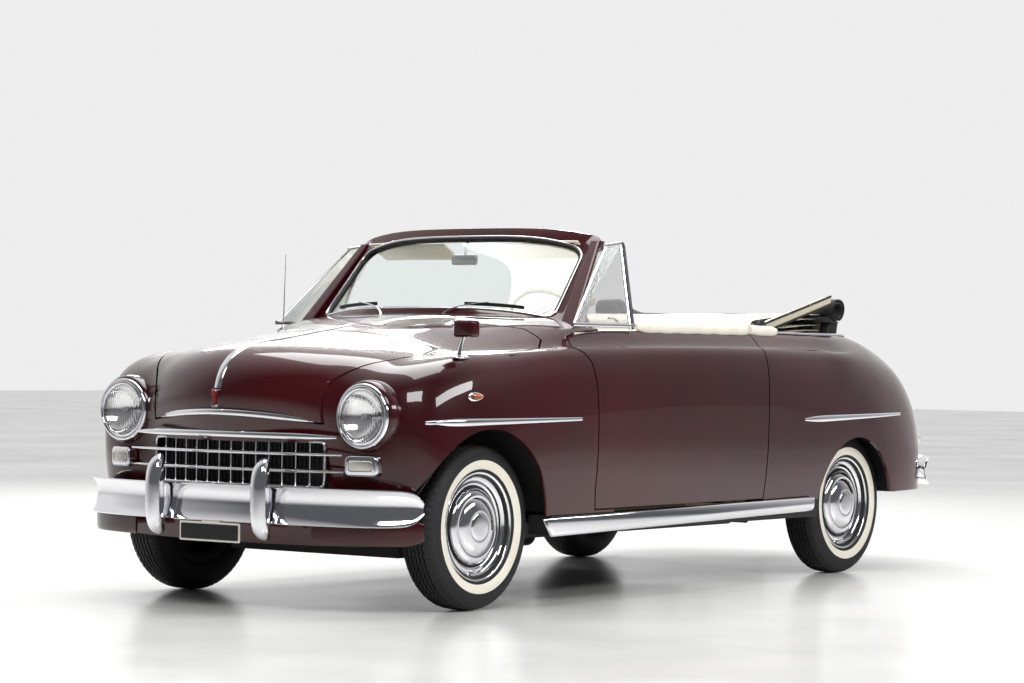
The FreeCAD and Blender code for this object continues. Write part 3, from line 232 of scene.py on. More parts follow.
def make_materials(colours):
    """Every finish of the car, from the colours that the panel holds."""
    make_paint("enamel_burgundy", colours.paint_dark, colours.paint_light)
    make_paint("enamel_cream", "#cfc5ab", "#ddd5bd", 0.4)
    make_metal("plated_chrome", "#e6e6e9", 0.04, 0.12)
    make_metal("plated_chrome_dull", "#b9b9bc", 0.2, 0.34)
    make_metal("silvered_bowl", "#eeeeee", 0.05, 0.09)
    make_metal("bare_steel", "#6d675f", 0.35, 0.6, 60.0, 0.0003)
    make_coating("satin_black_steel", "#101011", "#1d1c1b", 0.45, 0.75)
    make_coating("cast_iron_block", "#2a2c2d", "#3d3e3e", 0.5, 0.8, 140.0, 0.0006)
    make_coating("tyre_black_rubber", "#0d0d0e", "#191919", 0.55, 0.8, 220.0, 0.0002)
    make_coating("tyre_white_rubber", "#e4dfce", "#f1eddf", 0.42, 0.6, 220.0, 0.0001)
    make_coating("seal_black_rubber", "#0c0c0c", "#171717", 0.4, 0.6)
    make_coating("carpet_brown", "#3d2a22", "#5c4436", 0.9, 1.0, 260.0, 0.003)
    make_coating("plate_black_enamel", "#08080a", "#101012", 0.25, 0.4)
    make_coating("plate_white_enamel", "#dedccf", "#eceade", 0.3, 0.45)
    make_coating("ivory_moulding", "#c9b184", "#d8c49b", 0.22, 0.34, 60.0, 0.00005)
    make_glass("clear_pane", "#f4fbf9")
    make_glass("lamp_glass_ribbed", "#ffffff", 0.02, 1.5, 0.011)
    make_glass("parking_glass_ribbed", "#f6f3e6", 0.05, 1.5, 0.006)
    make_glass("amber_lens", "#f08a3c", 0.08, 1.5, 0.005)
    make_glass("red_lens", "#c01812", 0.08, 1.5, 0.006)
    make_leather("cream_hide", "#ddd3ba", "#ebe3cf")
    make_leather("cream_door_hide", "#d6ccb2", "#e6dec8")
    make_cloth("cream_lining_cloth", "#ddd6c4", "#efeadc")
    make_cloth("black_top_cloth", "#0c0c0d", "#1c1c1d")


# ---- body skin ----
def front_fan(degrees):
    """Station of the fan around the front axle, by degrees ahead of upright."""
    return -FAN_STEP * degrees


def rear_fan(degrees):
    """Station of the fan around the rear axle, by degrees behind upright."""
    return WHEELBASE + FAN_STEP * degrees


def spaced(ahead, between, behind):
    """Stations along the car: degrees ahead of the front axle, mm between the axles, degrees behind."""
    return [front_fan(d) for d in ahead] + list(between) + [rear_fan(d) for d in behind]


CROWN_SPACING = spaced((98, 88, 81, 74.5, 69.3, 62.5, 59, 56, 51.4, 48, 44, 37.4, 29.7, 21.5, 12.3),
    (0, 148, 300, 450, 560, 700, 900, 1150, 1900, 2650), (10, 18.7, 32.5, 46, 56, 65, 71.5, 78, 84, 90,
    98))
SIDE_SPACING = spaced((98, 88, 81, 74, 68, 62, 56, 50, 44, 38, 30, 20, 10), (0, 148, 300, 450, 560,
    900, 1400, 1900, 2300, 2650), (8, 14, 20.5, 28, 36, 46, 56, 65, 71.5, 78, 84, 90, 98))
# Each rail runs from the front apron, over the car, to the rear apron: stations, x, height above axle.
RAILS = [list(zip(*rail)) for rail in (
    (CROWN_SPACING,
     (0,) * 36,
     (486, 503, 508, 524, 564, 628, 668, 722, 775, 801, 808, 793, 756, 718, 700, 704, 727, 751, 774,
     786, 789, 765, 740, 735, 745, 757, 781, 836, 898, 934, 945, 941, 925, 903, 880, 868)),
    (CROWN_SPACING,
     (170,) * 15 + (175, 190, 210, 225, 235, 240, 250, 260, 260, 260, 260, 255, 250, 245) + (240,) * 7,
     (484, 500, 503, 515, 548, 606, 642, 694, 750, 779, 790, 779, 745, 710, 693, 698, 721, 745, 768,
     782, 786, 763, 740, 735, 744, 756, 779, 831, 890, 925, 937, 933, 917, 895, 872, 860)),
    (CROWN_SPACING,
     (330,) * 15 + (340, 375, 415, 450, 475, 490, 500, 500, 490, 480, 465, 455, 445, 440, 435, 432,
     430, 430, 430, 430, 430),
     (476, 488, 487, 484, 504, 549, 580, 622, 682, 716, 740, 742, 719, 691, 676, 681, 700, 722, 747,
     765, 773, 756, 738, 734, 741, 753, 772, 812, 858, 890, 902, 898, 884, 865, 845, 832)),
    (spaced((98, 88, 81, 74.5, 69.3, 62.5, 56, 51.4, 48, 44, 37.4, 29.7, 21.5, 12.3), (0, 148, 300,
     450, 560, 700, 900, 1150, 1900, 2300, 2650), (10, 18.7, 28, 36, 46, 56, 65, 71.5, 78, 84, 90, 98)),
     (455,) * 9 + (460, 465, 475, 490, 505, 520, 570, 625, 675, 702, 716, 720, 722, 720, 712, 680, 640,
     612, 600, 595, 590, 588, 586, 585, 585, 585, 585, 585),
     (460, 468, 466, 464, 482, 517, 563, 607, 640, 673, 695, 690, 668, 650, 648, 660, 678, 700, 717,
     728, 731, 731, 731, 730, 728, 735, 748, 767, 785, 812, 834, 838, 831, 817, 800, 784, 772)),
    (spaced((98, 88, 81, 74, 68, 62, 56, 51, 46, 41, 35, 27, 18, 9), (0, 148, 300, 450, 560, 900, 1400,
     1900, 2300, 2650), (8, 14, 20.5, 28, 36, 46, 56, 65, 71.5, 78, 84, 90, 98)),
     (573,) * 9 + (575, 578, 585, 600, 615, 630, 675, 722, 756, 764, 771, 777, 774, 764, 742, 712, 690,
     672, 664, 660, 656, 654) + (652,) * 6,
     (436, 441, 448, 465, 495, 528, 562, 598, 640, 668, 674, 661, 642, 629, 623, 630, 639, 650, 655,
     662, 667, 667, 662, 668, 690, 712, 728, 743, 760, 782, 795, 793, 782, 767, 752, 738, 727)),
    (SIDE_SPACING,
     (655, 655, 655, 655, 656, 658, 660, 662, 664, 668, 675, 690, 704, 714, 738, 762, 779, 784, 790,
     796, 793, 784, 768, 752, 740, 728, 718, 712, 707, 704) + (702,) * 6,
     (416, 420, 428, 446, 472, 503, 537, 580, 624, 650, 655, 641, 630, 626, 630, 637, 643, 647, 654,
     658, 658, 654, 652, 660, 672, 686, 706, 727, 748, 755, 747, 734, 718, 704, 690, 680)),
    (SIDE_SPACING,
     (718, 718, 719, 720, 722, 724, 727, 730, 733, 737, 743, 751, 758, 765, 779, 793, 803, 807, 811,
     815, 813, 807, 797, 788, 781, 773, 765, 759, 753, 750, 748, 747, 746, 746, 746, 746),
     (386, 390, 398, 414, 437, 465, 497, 538, 580, 610, 625, 619, 610, 606, 606, 608, 609, 610, 612,
     613, 612, 608, 604, 610, 620, 633, 652, 673, 692, 696, 686, 671, 655, 641, 628, 617)),
    (spaced((98, 88, 81, 74, 68, 62, 56, 50, 44, 38, 30, 20, 10), (0, 148, 300, 450, 900, 1400, 1900,
     2300, 2650), (14, 20.5, 28, 36, 46, 56, 65, 71.5, 78, 84, 90, 98)),
     (768, 768, 769, 770, 772, 774, 777, 780, 783, 786, 790, 795, 800, 804, 811, 817, 821, 825, 827,
     826, 823, 817, 810, 806, 800, 795, 790, 786, 784, 783, 782, 782, 782, 782),
     (340, 345, 353, 368, 388, 412, 440, 474, 508, 534, 548, 544, 534, 528, 525, 523, 521, 520, 519,
     517, 513, 508, 520, 532, 548, 565, 581, 582, 570, 556, 541, 529, 518, 508)),
    (spaced((98, 88, 74, 62, 50, 38, 24, 10), (0, 148, 300, 900, 1900, 2650), (14, 28, 46, 60, 72, 84,
     98)),
     (800, 800, 801, 804, 808, 812, 815, 818, 820, 822, 825, 827, 827, 825, 823, 819, 812, 808, 806,
     805, 805),
     (282, 286, 304, 340, 385, 422, 420, 395, 375, 362, 355, 350, 350, 355, 368, 390, 412, 405, 388,
     370, 355)),
    (spaced((98, 74, 50, 24), (0, 300, 900, 1900, 2650), (28, 60, 84, 98)),
     (814, 814, 815, 816, 817, 819, 820, 820, 820, 820, 819, 818, 818),
     (170, 180, 210, 215, 190, 178, 175, 175, 185, 200, 205, 195, 190)),
    (spaced((98,), (0, 900, 1900, 2650), (98,)),
     (800,) * 6,
     (30, 30, 30, 30, 30, 30)))]
# Which way each rail moves when the skin is made thinner: (sideways, towards the axle line).
INWARD = [(0, 1), (0.05, 1), (0.15, 0.98), (0.3, 0.95), (0.5, 0.85), (0.65, 0.76), (0.85, 0.52),
          (0.96, 0.28), (1, 0.05), (1, 0), (1, 0)]


def slopes(xs, ys):
    """Finite differences at the knots, for a cubic that bends gently."""
    out = []
    last = len(xs) - 1
    for i in range(last + 1):
        if i in (0, last):
            a = max(i - 1, 0)
            b = min(i + 1, last)
            out.append((ys[b] - ys[a]) / (xs[b] - xs[a]))
            continue
        before = xs[i] - xs[i - 1]
        after = xs[i + 1] - xs[i]
        left = (ys[i] - ys[i - 1]) / before
        right = (ys[i + 1] - ys[i]) / after
        out.append((left * after + right * before) / (before + after))
    return out


def curve_value(xs, ys, ms, x):
    """Value at x of the cubic through the knots with those slopes."""
    i = 0
    while i < len(xs) - 2 and x > xs[i + 1]:
        i += 1
    span = xs[i + 1] - xs[i]
    t = (x - xs[i]) / span
    a = 2 * t ** 3 - 3 * t ** 2 + 1
    b = t ** 3 - 2 * t ** 2 + t
    c = 3 * t ** 2 - 2 * t ** 3
    d = t ** 3 - t ** 2
    return a * ys[i] + b * span * ms[i] + c * ys[i + 1] + d * span * ms[i + 1]


def stations():
    """Where the skin has rows of control points, closer together around the ends."""
    out = []
    s = front_fan(98)
    while s < rear_fan(98) - 30:
        out.append(s)
        s += 26.0 if s < 0 or s > WHEELBASE else 95.0
    return out + [rear_fan(98)]


def station_point(s, x, h):
    """A point h above the axle line: stations fan around both axles and stand upright between them."""
    if s < 0:
        turn = math.radians(-s / FAN_STEP)
        return (x, -h * math.sin(turn), AXLE_Z + h * math.cos(turn))
    if s > WHEELBASE:
        turn = math.radians((s - WHEELBASE) / FAN_STEP)
        return (x, WHEELBASE + h * math.sin(turn), AXLE_Z + h * math.cos(turn))
    return (x, s, AXLE_Z + h)


def row_points(s, inset):
    """One station's control points, left side up, over and down the right, with one between rails."""
    half = []
    for rail, (sideways, inward) in zip(RAILS, INWARD):
        keys, xs, hs = zip(*rail)
        x = curve_value(keys, xs, slopes(keys, xs), s) - sideways * inset
        h = curve_value(keys, hs, slopes(keys, hs), s) - inward * inset
        half.append((x if x > 1 else 0, h))
    row = half[::-1] + [(-x, h) for x, h in half[1:]]
    ts = [0.0]
    for (xa, ha), (xb, hb) in zip(row, row[1:]):
        ts.append(ts[-1] + math.hypot(xb - xa, hb - ha))
    xs, hs = zip(*row)
    mx, mh = slopes(ts, xs), slopes(ts, hs)
    points = []
    for ta, tb in zip(ts, ts[1:]):
        for t in (ta, (ta + tb) / 2.0):
            points.append(station_point(s, curve_value(ts, xs, mx, t), curve_value(ts, hs, mh, t)))
    points.append(station_point(s, *row[-1]))
    return points


def spline_weights(count, values):
    """How much each control point of an even clamped cubic spline counts at each parameter value."""
    knots = [0.0] * 3 + [float(i) for i in range(count - 2)] + [count - 3.0] * 3
    out = np.zeros((len(values), count))
    for row, t in enumerate(values):
        span = min(int(t), count - 4) + 3
        basis = [1.0, 0.0, 0.0, 0.0]
        left, right = [0.0] * 4, [0.0] * 4
        for j in range(1, 4):
            left[j] = t - knots[span + 1 - j]
            right[j] = knots[span + j] - t
            saved = 0.0
            for r in range(j):
                part = basis[r] / (right[r + 1] + left[j - r])
                basis[r] = saved + right[r + 1] * part
                saved = left[j - r] * part
            basis[j] = saved
        out[row, span - 3:span + 1] = basis
    return out


POLES = {}


def skin_at(us, vs, inset=0.0):
    """Places on the skin, in metres, for spline parameters along the car (us) and across it (vs)."""
    if inset not in POLES:
        POLES[inset] = np.array([row_points(s, inset) for s in stations()])
    poles = POLES[inset]
    along = spline_weights(poles.shape[0], us)
    across = spline_weights(poles.shape[1], vs)
    grid = np.einsum("ui,ijk,vj->uvk", along, poles, across)
    return (grid - np.array([0, MID_Y, 0])) * MM


U_END = len(stations()) - 3.0
V_END = 38.0
V_MID = V_END / 2.0


def skin_grid(u0, u1, v0, v1, inset=0.0, fine=3):
    """A sheet of quads on the skin between two parameter values each way."""
    nu = max(2, int((u1 - u0) * fine))
    nv = max(2, int((v1 - v0) * fine))
    us = np.linspace(u0, u1, nu + 1)
    vs = np.linspace(v0, v1, nv + 1)
    places = skin_at(us, vs, inset)
    bm = bmesh.new()
    bmesh.ops.create_grid(bm, x_segments=nu, y_segments=nv, size=1)
    for v in bm.verts:
        i = int(round((v.co.x + 1) / 2 * nu))
        j = int(round((v.co.y + 1) / 2 * nv))
        v.co = places[i, j]
    return bm


# ---- mesh tools ----
def link(name, mesh, *materials):
    """Puts a mesh in the scene as an object with its finishes."""
    piece = bpy.data.objects.new(name, mesh)
    bpy.context.scene.collection.objects.link(piece)
    for material in materials:
        mesh.materials.append(finish_of(material))
    return piece


def mesh_of(bm, name, angle=32.0, outward=True):
    """Ends a bmesh as a mesh with its normals outwards and smooth up to an angle."""
    if outward:
        bmesh.ops.recalc_face_normals(bm, faces=bm.faces)
    mesh = bpy.data.meshes.new(name)
    bm.to_mesh(mesh)
    bm.free()
    for polygon in mesh.polygons:
        polygon.use_smooth = True
    mesh.set_sharp_from_angle(angle=math.radians(angle))
    return mesh


def piece_from(bm, name, body, materials, angle=32.0, replaces=(), outward=True):
    """Makes a bmesh a piece of the car that rides on a body."""
    piece = link(name, mesh_of(bm, name, angle, outward), *materials)
    return settle(piece, body, replaces)


def settle(piece, body, replaces=()):
    """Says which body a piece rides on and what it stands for."""
    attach(piece, body)
    if replaces:
        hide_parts(*replaces)
    return piece


def applied(piece):
    """The mesh of a piece with its modifiers applied."""
    graph = bpy.context.evaluated_depsgraph_get()
    mesh = bpy.data.meshes.new_from_object(piece.evaluated_get(graph))
    return mesh


def boolean(mesh, cuts, name="cut"):
    """Cuts a closed mesh with (operation, mesh) pairs in turn, and returns the result."""
    work = bpy.data.objects.new(name, mesh)
    bpy.context.scene.collection.objects.link(work)
    tools = []
    for operation, tool_mesh in cuts:
        tool = bpy.data.objects.new(name + "_tool", tool_mesh)
        bpy.context.scene.collection.objects.link(tool)
        tools.append(tool)
        modifier = work.modifiers.new("cut", "BOOLEAN")
        modifier.operation = operation
        modifier.object = tool
        modifier.solver = "EXACT"
    bpy.context.view_layer.update()
    out = applied(work)
    for o in [work] + tools:
        bpy.data.objects.remove(o)
    return out


def bm_of(mesh):
    """A bmesh copy of a mesh."""
    bm = bmesh.new()
    bm.from_mesh(mesh)
    return bm


def plain_mesh(bm, name="tool"):
    """Ends a bmesh as a mesh for cutting."""
    bmesh.ops.recalc_face_normals(bm, faces=bm.faces)
    mesh = bpy.data.meshes.new(name)
    bm.to_mesh(mesh)
    bm.free()
    return mesh


def flat_block(points, push):
    """A closed block: an outline of places pushed along a vector in metres."""
    bm = bmesh.new()
    face = bm.faces.new([bm.verts.new(p) for p in points])
    out = bmesh.ops.extrude_face_region(bm, geom=[face])
    moved = [v for v in out["geom"] if isinstance(v, bmesh.types.BMVert)]
    bmesh.ops.translate(bm, verts=moved, vec=push)
    bmesh.ops.recalc_face_normals(bm, faces=bm.faces)
    return bm


def block_x(yz, x0, x1):
    return flat_block([at(x0, y, z) for y, z in yz], Vector(((x1 - x0) * MM, 0, 0)))


def block_y(xz, y0, y1):
    return flat_block([at(x, y0, z) for x, z in xz], Vector((0, (y1 - y0) * MM, 0)))


def block_z(xy, z0, z1):
    return flat_block([at(x, y, z0) for x, y in xy], Vector((0, 0, (z1 - z0) * MM)))


def box_bm(x0, x1, y0, y1, z0, z1):
    return block_z([(x0, y0), (x1, y0), (x1, y1), (x0, y1)], z0, z1)


def join_bm(target, other):
    """Adds one bmesh to another and frees it."""
    mesh = bpy.data.meshes.new("joined")
    other.to_mesh(mesh)
    other.free()
    target.from_mesh(mesh)
    bpy.data.meshes.remove(mesh)
    return target


def mirror_bm(bm):
    """Turns a bmesh into its mirror image across the car."""
    bmesh.ops.scale(bm, vec=(-1, 1, 1), verts=bm.verts)
    bmesh.ops.reverse_faces(bm, faces=bm.faces)
    return bm


def both_sides(bm):
    """Adds the mirror image of a bmesh to itself."""
    other = bm.copy()
    mirror_bm(other)
    return join_bm(bm, other)


def mirrored_mesh(mesh, name):
    return mesh_of(mirror_bm(bm_of(mesh)), name, outward=False)


def cylinder_bm(radius, length, start, axis, sides=32, top=None):
    """A closed round bar from start along axis."""
    bm = bmesh.new()
    turn = Vector((0, 0, 1)).rotation_difference(Vector(axis)).to_matrix().to_4x4()
    place = Matrix.Translation(start) @ turn @ Matrix.Translation((0, 0, length / 2))
    bmesh.ops.create_cone(bm, cap_ends=True, segments=sides, radius1=radius,
                          radius2=radius if top is None else top, depth=length, matrix=place)
    return bm


def spun(profile, centre, axis, steps=64, closed=False):
    """Turns (along axis, radius) points in mm about an axis through centre."""
    axis = Vector(axis).normalized()
    side = axis.orthogonal().normalized()
    bm = bmesh.new()
    verts = [bm.verts.new(centre + axis * (a * MM) + side * (r * MM)) for a, r in profile]
    edges = [bm.edges.new(pair) for pair in zip(verts, verts[1:])]
    if closed:
        edges.append(bm.edges.new((verts[-1], verts[0])))
    bmesh.ops.spin(bm, geom=verts + edges, cent=centre, axis=axis, angle=2 * math.pi, steps=steps,
                   use_merge=True)
    bmesh.ops.remove_doubles(bm, verts=bm.verts, dist=1e-6)
    bmesh.ops.recalc_face_normals(bm, faces=bm.faces)
    return bm


def outline_curve(points, name="outline"):
    """A closed flat curve for sweeping: (across, up) in mm."""
    curve = bpy.data.curves.new(name, "CURVE")
    curve.dimensions = "2D"
    curve.fill_mode = "NONE"
    spline = curve.splines.new("POLY")
    spline.points.add(len(points) - 1)
    for point, (a, b) in zip(spline.points, points):
        point.co = (a * MM, b * MM, 0, 1)
    spline.use_cyclic_u = True
    out = bpy.data.objects.new(name, curve)
    bpy.context.scene.collection.objects.link(out)
    return out


def oval(width, height, count=16, power=2.0):
    """Outline of a rounded section, width by height in mm; a higher power is squarer."""
    points = []
    for i in range(count):
        turn = 2 * math.pi * i / count
        c, s = math.cos(turn), math.sin(turn)
        points.append((math.copysign(abs(c) ** (2 / power), c) * width / 2,
                       math.copysign(abs(s) ** (2 / power), s) * height / 2))
    return points


def swept_mesh(path, outline=None, radius=0.0, sizes=None, closed=False, smooth=4, up="Z_UP", sides=4,
               tilt=0.0):
    """Sweeps an outline, or a round section, along places in metres, and returns the mesh."""
    curve = bpy.data.curves.new("path", "CURVE")
    curve.dimensions = "3D"
    curve.twist_mode = up
    curve.resolution_u = smooth
    spline = curve.splines.new("NURBS")
    spline.points.add(len(path) - 1)
    for i, (point, place) in enumerate(zip(spline.points, path)):
        point.co = (*place, 1)
        point.radius = sizes[i] if sizes else 1.0
        point.tilt = tilt
    spline.order_u = min(4, len(path))
    spline.use_endpoint_u = not closed
    spline.use_cyclic_u = closed
    curve.use_fill_caps = True
    if outline:
        section = outline_curve(outline)
        curve.bevel_mode = "OBJECT"
        curve.bevel_object = section
    else:
        curve.bevel_depth = radius * MM
        curve.bevel_resolution = sides
    path_object = bpy.data.objects.new("path", curve)
    bpy.context.scene.collection.objects.link(path_object)
    bpy.context.view_layer.update()
    mesh = applied(path_object)
    bpy.data.objects.remove(path_object)
    if outline:
        bpy.data.objects.remove(section)
    return mesh


def swept(path, **settings):
    """A swept shape as a bmesh with closed ends and outward faces."""
    bm = bm_of(swept_mesh(path, **settings))
    bmesh.ops.remove_doubles(bm, verts=bm.verts, dist=1e-5)
    bmesh.ops.holes_fill(bm, edges=[e for e in bm.edges if e.is_boundary])
    bmesh.ops.recalc_face_normals(bm, faces=bm.faces)
    return bm


# ---- body panels ----
def hood_plan(grow=0.0):
    side = [(384, -900), (384, -515), (405, -480), (470, -405), (545, -300), (590, -190), (622, -60),
            (655, 60), (697, 200), (720, 290), (726, 352), (690, 415), (600, 436), (450, 384),
            (350, 309), (200, 210), (100, 166)]
    return grown(side + [(0, 150)] + [(-x, y) for x, y in side[::-1]], grow)


def grown(points, grow):
    """Pushes an outline outwards by grow mm with mitred corners."""
    if not grow:
        return points
    area = sum(a[0] * b[1] - b[0] * a[1] for a, b in zip(points, points[1:] + points[:1]))
    sign = 1 if area > 0 else -1
    out = []
    for before, here, after in zip(points[-1:] + points[:-1], points, points[1:] + points[:1]):
        one = Vector((here[0] - before[0], here[1] - before[1])).normalized()
        two = Vector((after[0] - here[0], after[1] - here[1])).normalized()
        normal = Vector((one.y + two.y, -one.x - two.x)).normalized() * sign
        square = Vector((one.y, -one.x)) * sign
        reach = grow / max(0.4, normal.dot(square))
        out.append((here[0] + normal.x * reach, here[1] + normal.y * reach))
    return out


def rounded(points, radius, steps=4):
    """Rounds an outline's corners by about radius mm."""
    out = []
    for before, here, after in zip(points[-1:] + points[:-1], points, points[1:] + points[:1]):
        a, b, c = Vector(before), Vector(here), Vector(after)
        back = min(radius, (a - b).length * 0.45)
        on = min(radius, (c - b).length * 0.45)
        start, end = b + (a - b).normalized() * back, b + (c - b).normalized() * on
        for i in range(steps + 1):
            t = i / steps
            out.append(tuple(start * (1 - t) ** 2 + b * 2 * t * (1 - t) + end * t * t))
    return out


def hood_block(grow=0.0):
    """The space of the hood: its plan outline, above the line over the nose."""
    upper = plain_mesh(block_z(hood_plan(grow), 560, 1200))
    low = [(-800, 655), (-384, 676), (-200, 694), (0, 702), (200, 694), (384, 676), (800, 655)]
    under = block_y([(x, z - grow) for x, z in low] + [(800, 300), (-800, 300)], -1000, 900)
    return boolean(upper, [("DIFFERENCE", plain_mesh(under))])


def door_outline(grow=0.0):
    front = [(632, 350), (618, 420), (616, 684), (607, 820), (588, 900), (558, 938), (524, 955),
             (540, 975), (575, 1040), (575, 1120)]
    return grown(front + [(1842, 1120), (1842, 350)], grow)


def door_block(grow=0.0):
    return plain_mesh(block_x(door_outline(grow), 722 - grow, 922))


def trunk_block(grow=0.0):
    half = 520 + grow
    front = 2965 - grow
    low = 560 - grow
    plan = [(-half, front), (half, front), (half, 4200), (-half, 4200)]
    side = rounded([(x, z) for x, z in ((-half, low), (half, low), (half, 1500), (-half, 1500))], 60)
    return boolean(plain_mesh(block_z(plan, low - 10, 1300)),
                   [("INTERSECT", plain_mesh(block_y(side, 2500, 4300)))])


def cabin_block():
    half = [(708, 700), (708, 2300), (640, 2770), (550, 2890)]
    return plain_mesh(block_z(rounded(half + [(-x, y) for x, y in half[::-1]], 40), 850, 1500))


def arch_block(y, z, half_y, half_z, x0=500, x1=950):
    outline = []
    for i in range(96):
        turn = 2 * math.pi * i / 96
        outline.append((y + half_y * math.cos(turn), z + half_z * math.sin(turn)))
    return plain_mesh(block_x(outline, x0, x1))


FRONT_ARCH = (-50.0, 297.0, 370.0, 360.0)
REAR_ARCH = (2600.0, 300.0, 305.0, 290.0)


def shell_mesh(u0, u1, v0, v1):
    """A closed sheet of the skin with the thickness of a panel."""
    bm = skin_grid(u0, u1, v0, v1)
    inner = skin_grid(u0, u1, v0, v1, PANEL_THICK)
    bmesh.ops.reverse_faces(inner, faces=inner.faces)
    join_bm(bm, inner)
    rims = [e for e in bm.edges if e.is_boundary]
    bmesh.ops.bridge_loops(bm, edges=rims)
    bmesh.ops.recalc_face_normals(bm, faces=bm.faces)
    mesh = bpy.data.meshes.new("shell")
    bm.to_mesh(mesh)
    bm.free()
    return mesh


def u_of(s):
    """Spline parameter of a station."""
    keys = stations()
    i = 0
    while i < len(keys) - 2 and keys[i + 1] < s:
        i += 1
    t = (s - keys[i]) / (keys[i + 1] - keys[i])
    return min(max(i + t - 1.0, 0.0), U_END)


def panel(name, body, u_range, v_range, cuts, replaces, material="enamel_burgundy"):
    """One pressed panel: a part of the skin, cut to its seams."""
    shell = shell_mesh(*u_range, *v_range)
    mesh = boolean(shell, cuts, name)
    bm = bm_of(mesh)
    bmesh.ops.remove_doubles(bm, verts=bm.verts, dist=2e-5)
    bmesh.ops.dissolve_degenerate(bm, edges=bm.edges, dist=2e-5)
    return piece_from(bm, name, body, [material], 34.0, replaces, outward=False)


def build_body_shell():
    """Fixed outer panels: nose with front wings, cowl, and rear wings with deck."""
    hood_gap = hood_block(SHUT_GAP)
    doors = [door_block(SHUT_GAP), mirrored_mesh(door_block(SHUT_GAP), "tool")]
    arches = []
    for arch in (FRONT_ARCH, REAR_ARCH):
        arches += [arch_block(*arch), mirrored_mesh(arch_block(*arch), "tool")]
    cabin = cabin_block()
    cowl_space = plain_mesh(box_bm(-762, 762, 130, 702, 850, 1300))
    opening = rounded([(-408, 602), (408, 602), (406, 440), (-406, 440)], 24)
    grille_hole = plain_mesh(block_y(opening, -900, -200))
    lamp_holes, parking_holes, tail_holes = [], [], []
    for side in (1, -1):
        lamp_holes.append(plain_mesh(cylinder_bm(0.1153, 0.5, at(side * 573, -678, 701), (0, 1, 0), 96)))
        corner = rounded([(side * 527, 502), (side * 625, 502), (side * 625, 552), (side * 527, 552)], 18)
        parking_holes.append(plain_mesh(block_y(corner, -600, -300)))
        tail_holes.append(plain_mesh(cylinder_bm(0.0383, 0.4, at(side * 662, WHEELBASE + 485, 575),
                                                 (0, 1, 0), 48)))
    take = "DIFFERENCE"
    cuts = [(take, m) for m in [hood_gap, cowl_space, grille_hole, cabin] + doors + arches[:2]
            + lamp_holes + parking_holes]
    panel("front_wings", "body", (0.0, u_of(760)), (0.0, V_END), cuts,
          ("nose_panel", "front_fender_left", "front_fender_right"))
    panel("cowl_panel", "body", (u_of(90), u_of(900)), (8.2, 29.8),
          [("INTERSECT", cowl_space), (take, hood_gap), (take, cabin)] + [(take, m) for m in doors],
          ("cowl",))
    below = plain_mesh(box_bm(-900, 900, WHEELBASE, 3900, 0, 348))
    slots = [plain_mesh(box_bm(x, x + 72, 3450, 3712, 394, 456)) for x in (339, -411)]
    cuts = [(take, m) for m in [trunk_block(SHUT_GAP), cabin,
                                below] + doors + arches[2:] + tail_holes + slots]
    panel("rear_wings", "body", (u_of(1760), U_END), (0.0, V_END), cuts,
          ("rear_quarter_left", "rear_quarter_right", "rear_deck"))


def build_hood():
    """Hood skin, cut from the body's skin to the hood's outline."""
    panel("hood_skin", "hood", (u_of(front_fan(76)), u_of(640)), (8.2, 29.8), [("INTERSECT", hood_block())],
          ("hood",))


def build_trunk_lid():
    """Trunk lid skin."""
    panel("trunk_lid_skin", "trunk_lid", (u_of(rear_fan(2)), U_END), (9.5, 28.5),
          [("INTERSECT", trunk_block())], ("trunk_lid",))


def side_solid(u0, u1, v0=0.0, v1=14.2, inner_x=600.0):
    """The car's left side as a closed block from the skin inwards to a plane."""
    bm = skin_grid(u0, u1, v0, v1, fine=4)
    inner = skin_grid(u0, u1, v0, v1, fine=4)
    for v in inner.verts:
        v.co.x = inner_x * MM
    bmesh.ops.reverse_faces(inner, faces=inner.faces)
    join_bm(bm, inner)
    bmesh.ops.bridge_loops(bm, edges=[e for e in bm.edges if e.is_boundary])
    bmesh.ops.recalc_face_normals(bm, faces=bm.faces)
    mesh = bpy.data.meshes.new("side")
    bm.to_mesh(mesh)
    bm.free()
    return mesh


def build_doors():
    """Both doors, thick to the plane of their trim, and the pillars behind them."""
    solid = side_solid(u_of(430), u_of(1990))
    door = boolean(solid, [("INTERSECT", door_block())], "door")
    pillar_space = plain_mesh(box_bm(722, 900, 1849, 2280, 334, 1300))
    pillar = boolean(side_solid(u_of(1740), u_of(2400)), [("INTERSECT", pillar_space)], "pillar")
    for side, end in ((1, "left"), (-1, "right")):
        for mesh, name, body, gone in ((door, "door_skin_" + end, "door_" + end, ("door_" + end,)),
                                       (pillar, "door_pillar_" + end, "body", ())):
            bm = bm_of(mesh)
            if name.startswith("door_pillar"):
                bmesh.ops.translate(bm, verts=bm.verts, vec=(-0.001, 0, 0))
            bmesh.ops.remove_doubles(bm, verts=bm.verts, dist=2e-5)
            if side < 0:
                mirror_bm(bm)
            piece_from(bm, name, body, ["enamel_burgundy"], 34.0, gone, outward=False)


# ---- wheels ----
ZIGZAGS = 68             # waves of the tread round a tyre
TREAD_GROOVES = (-34.0, -17.0, 0.0, 17.0, 34.0)
WHITE_BAND = (205.0, 240.0)


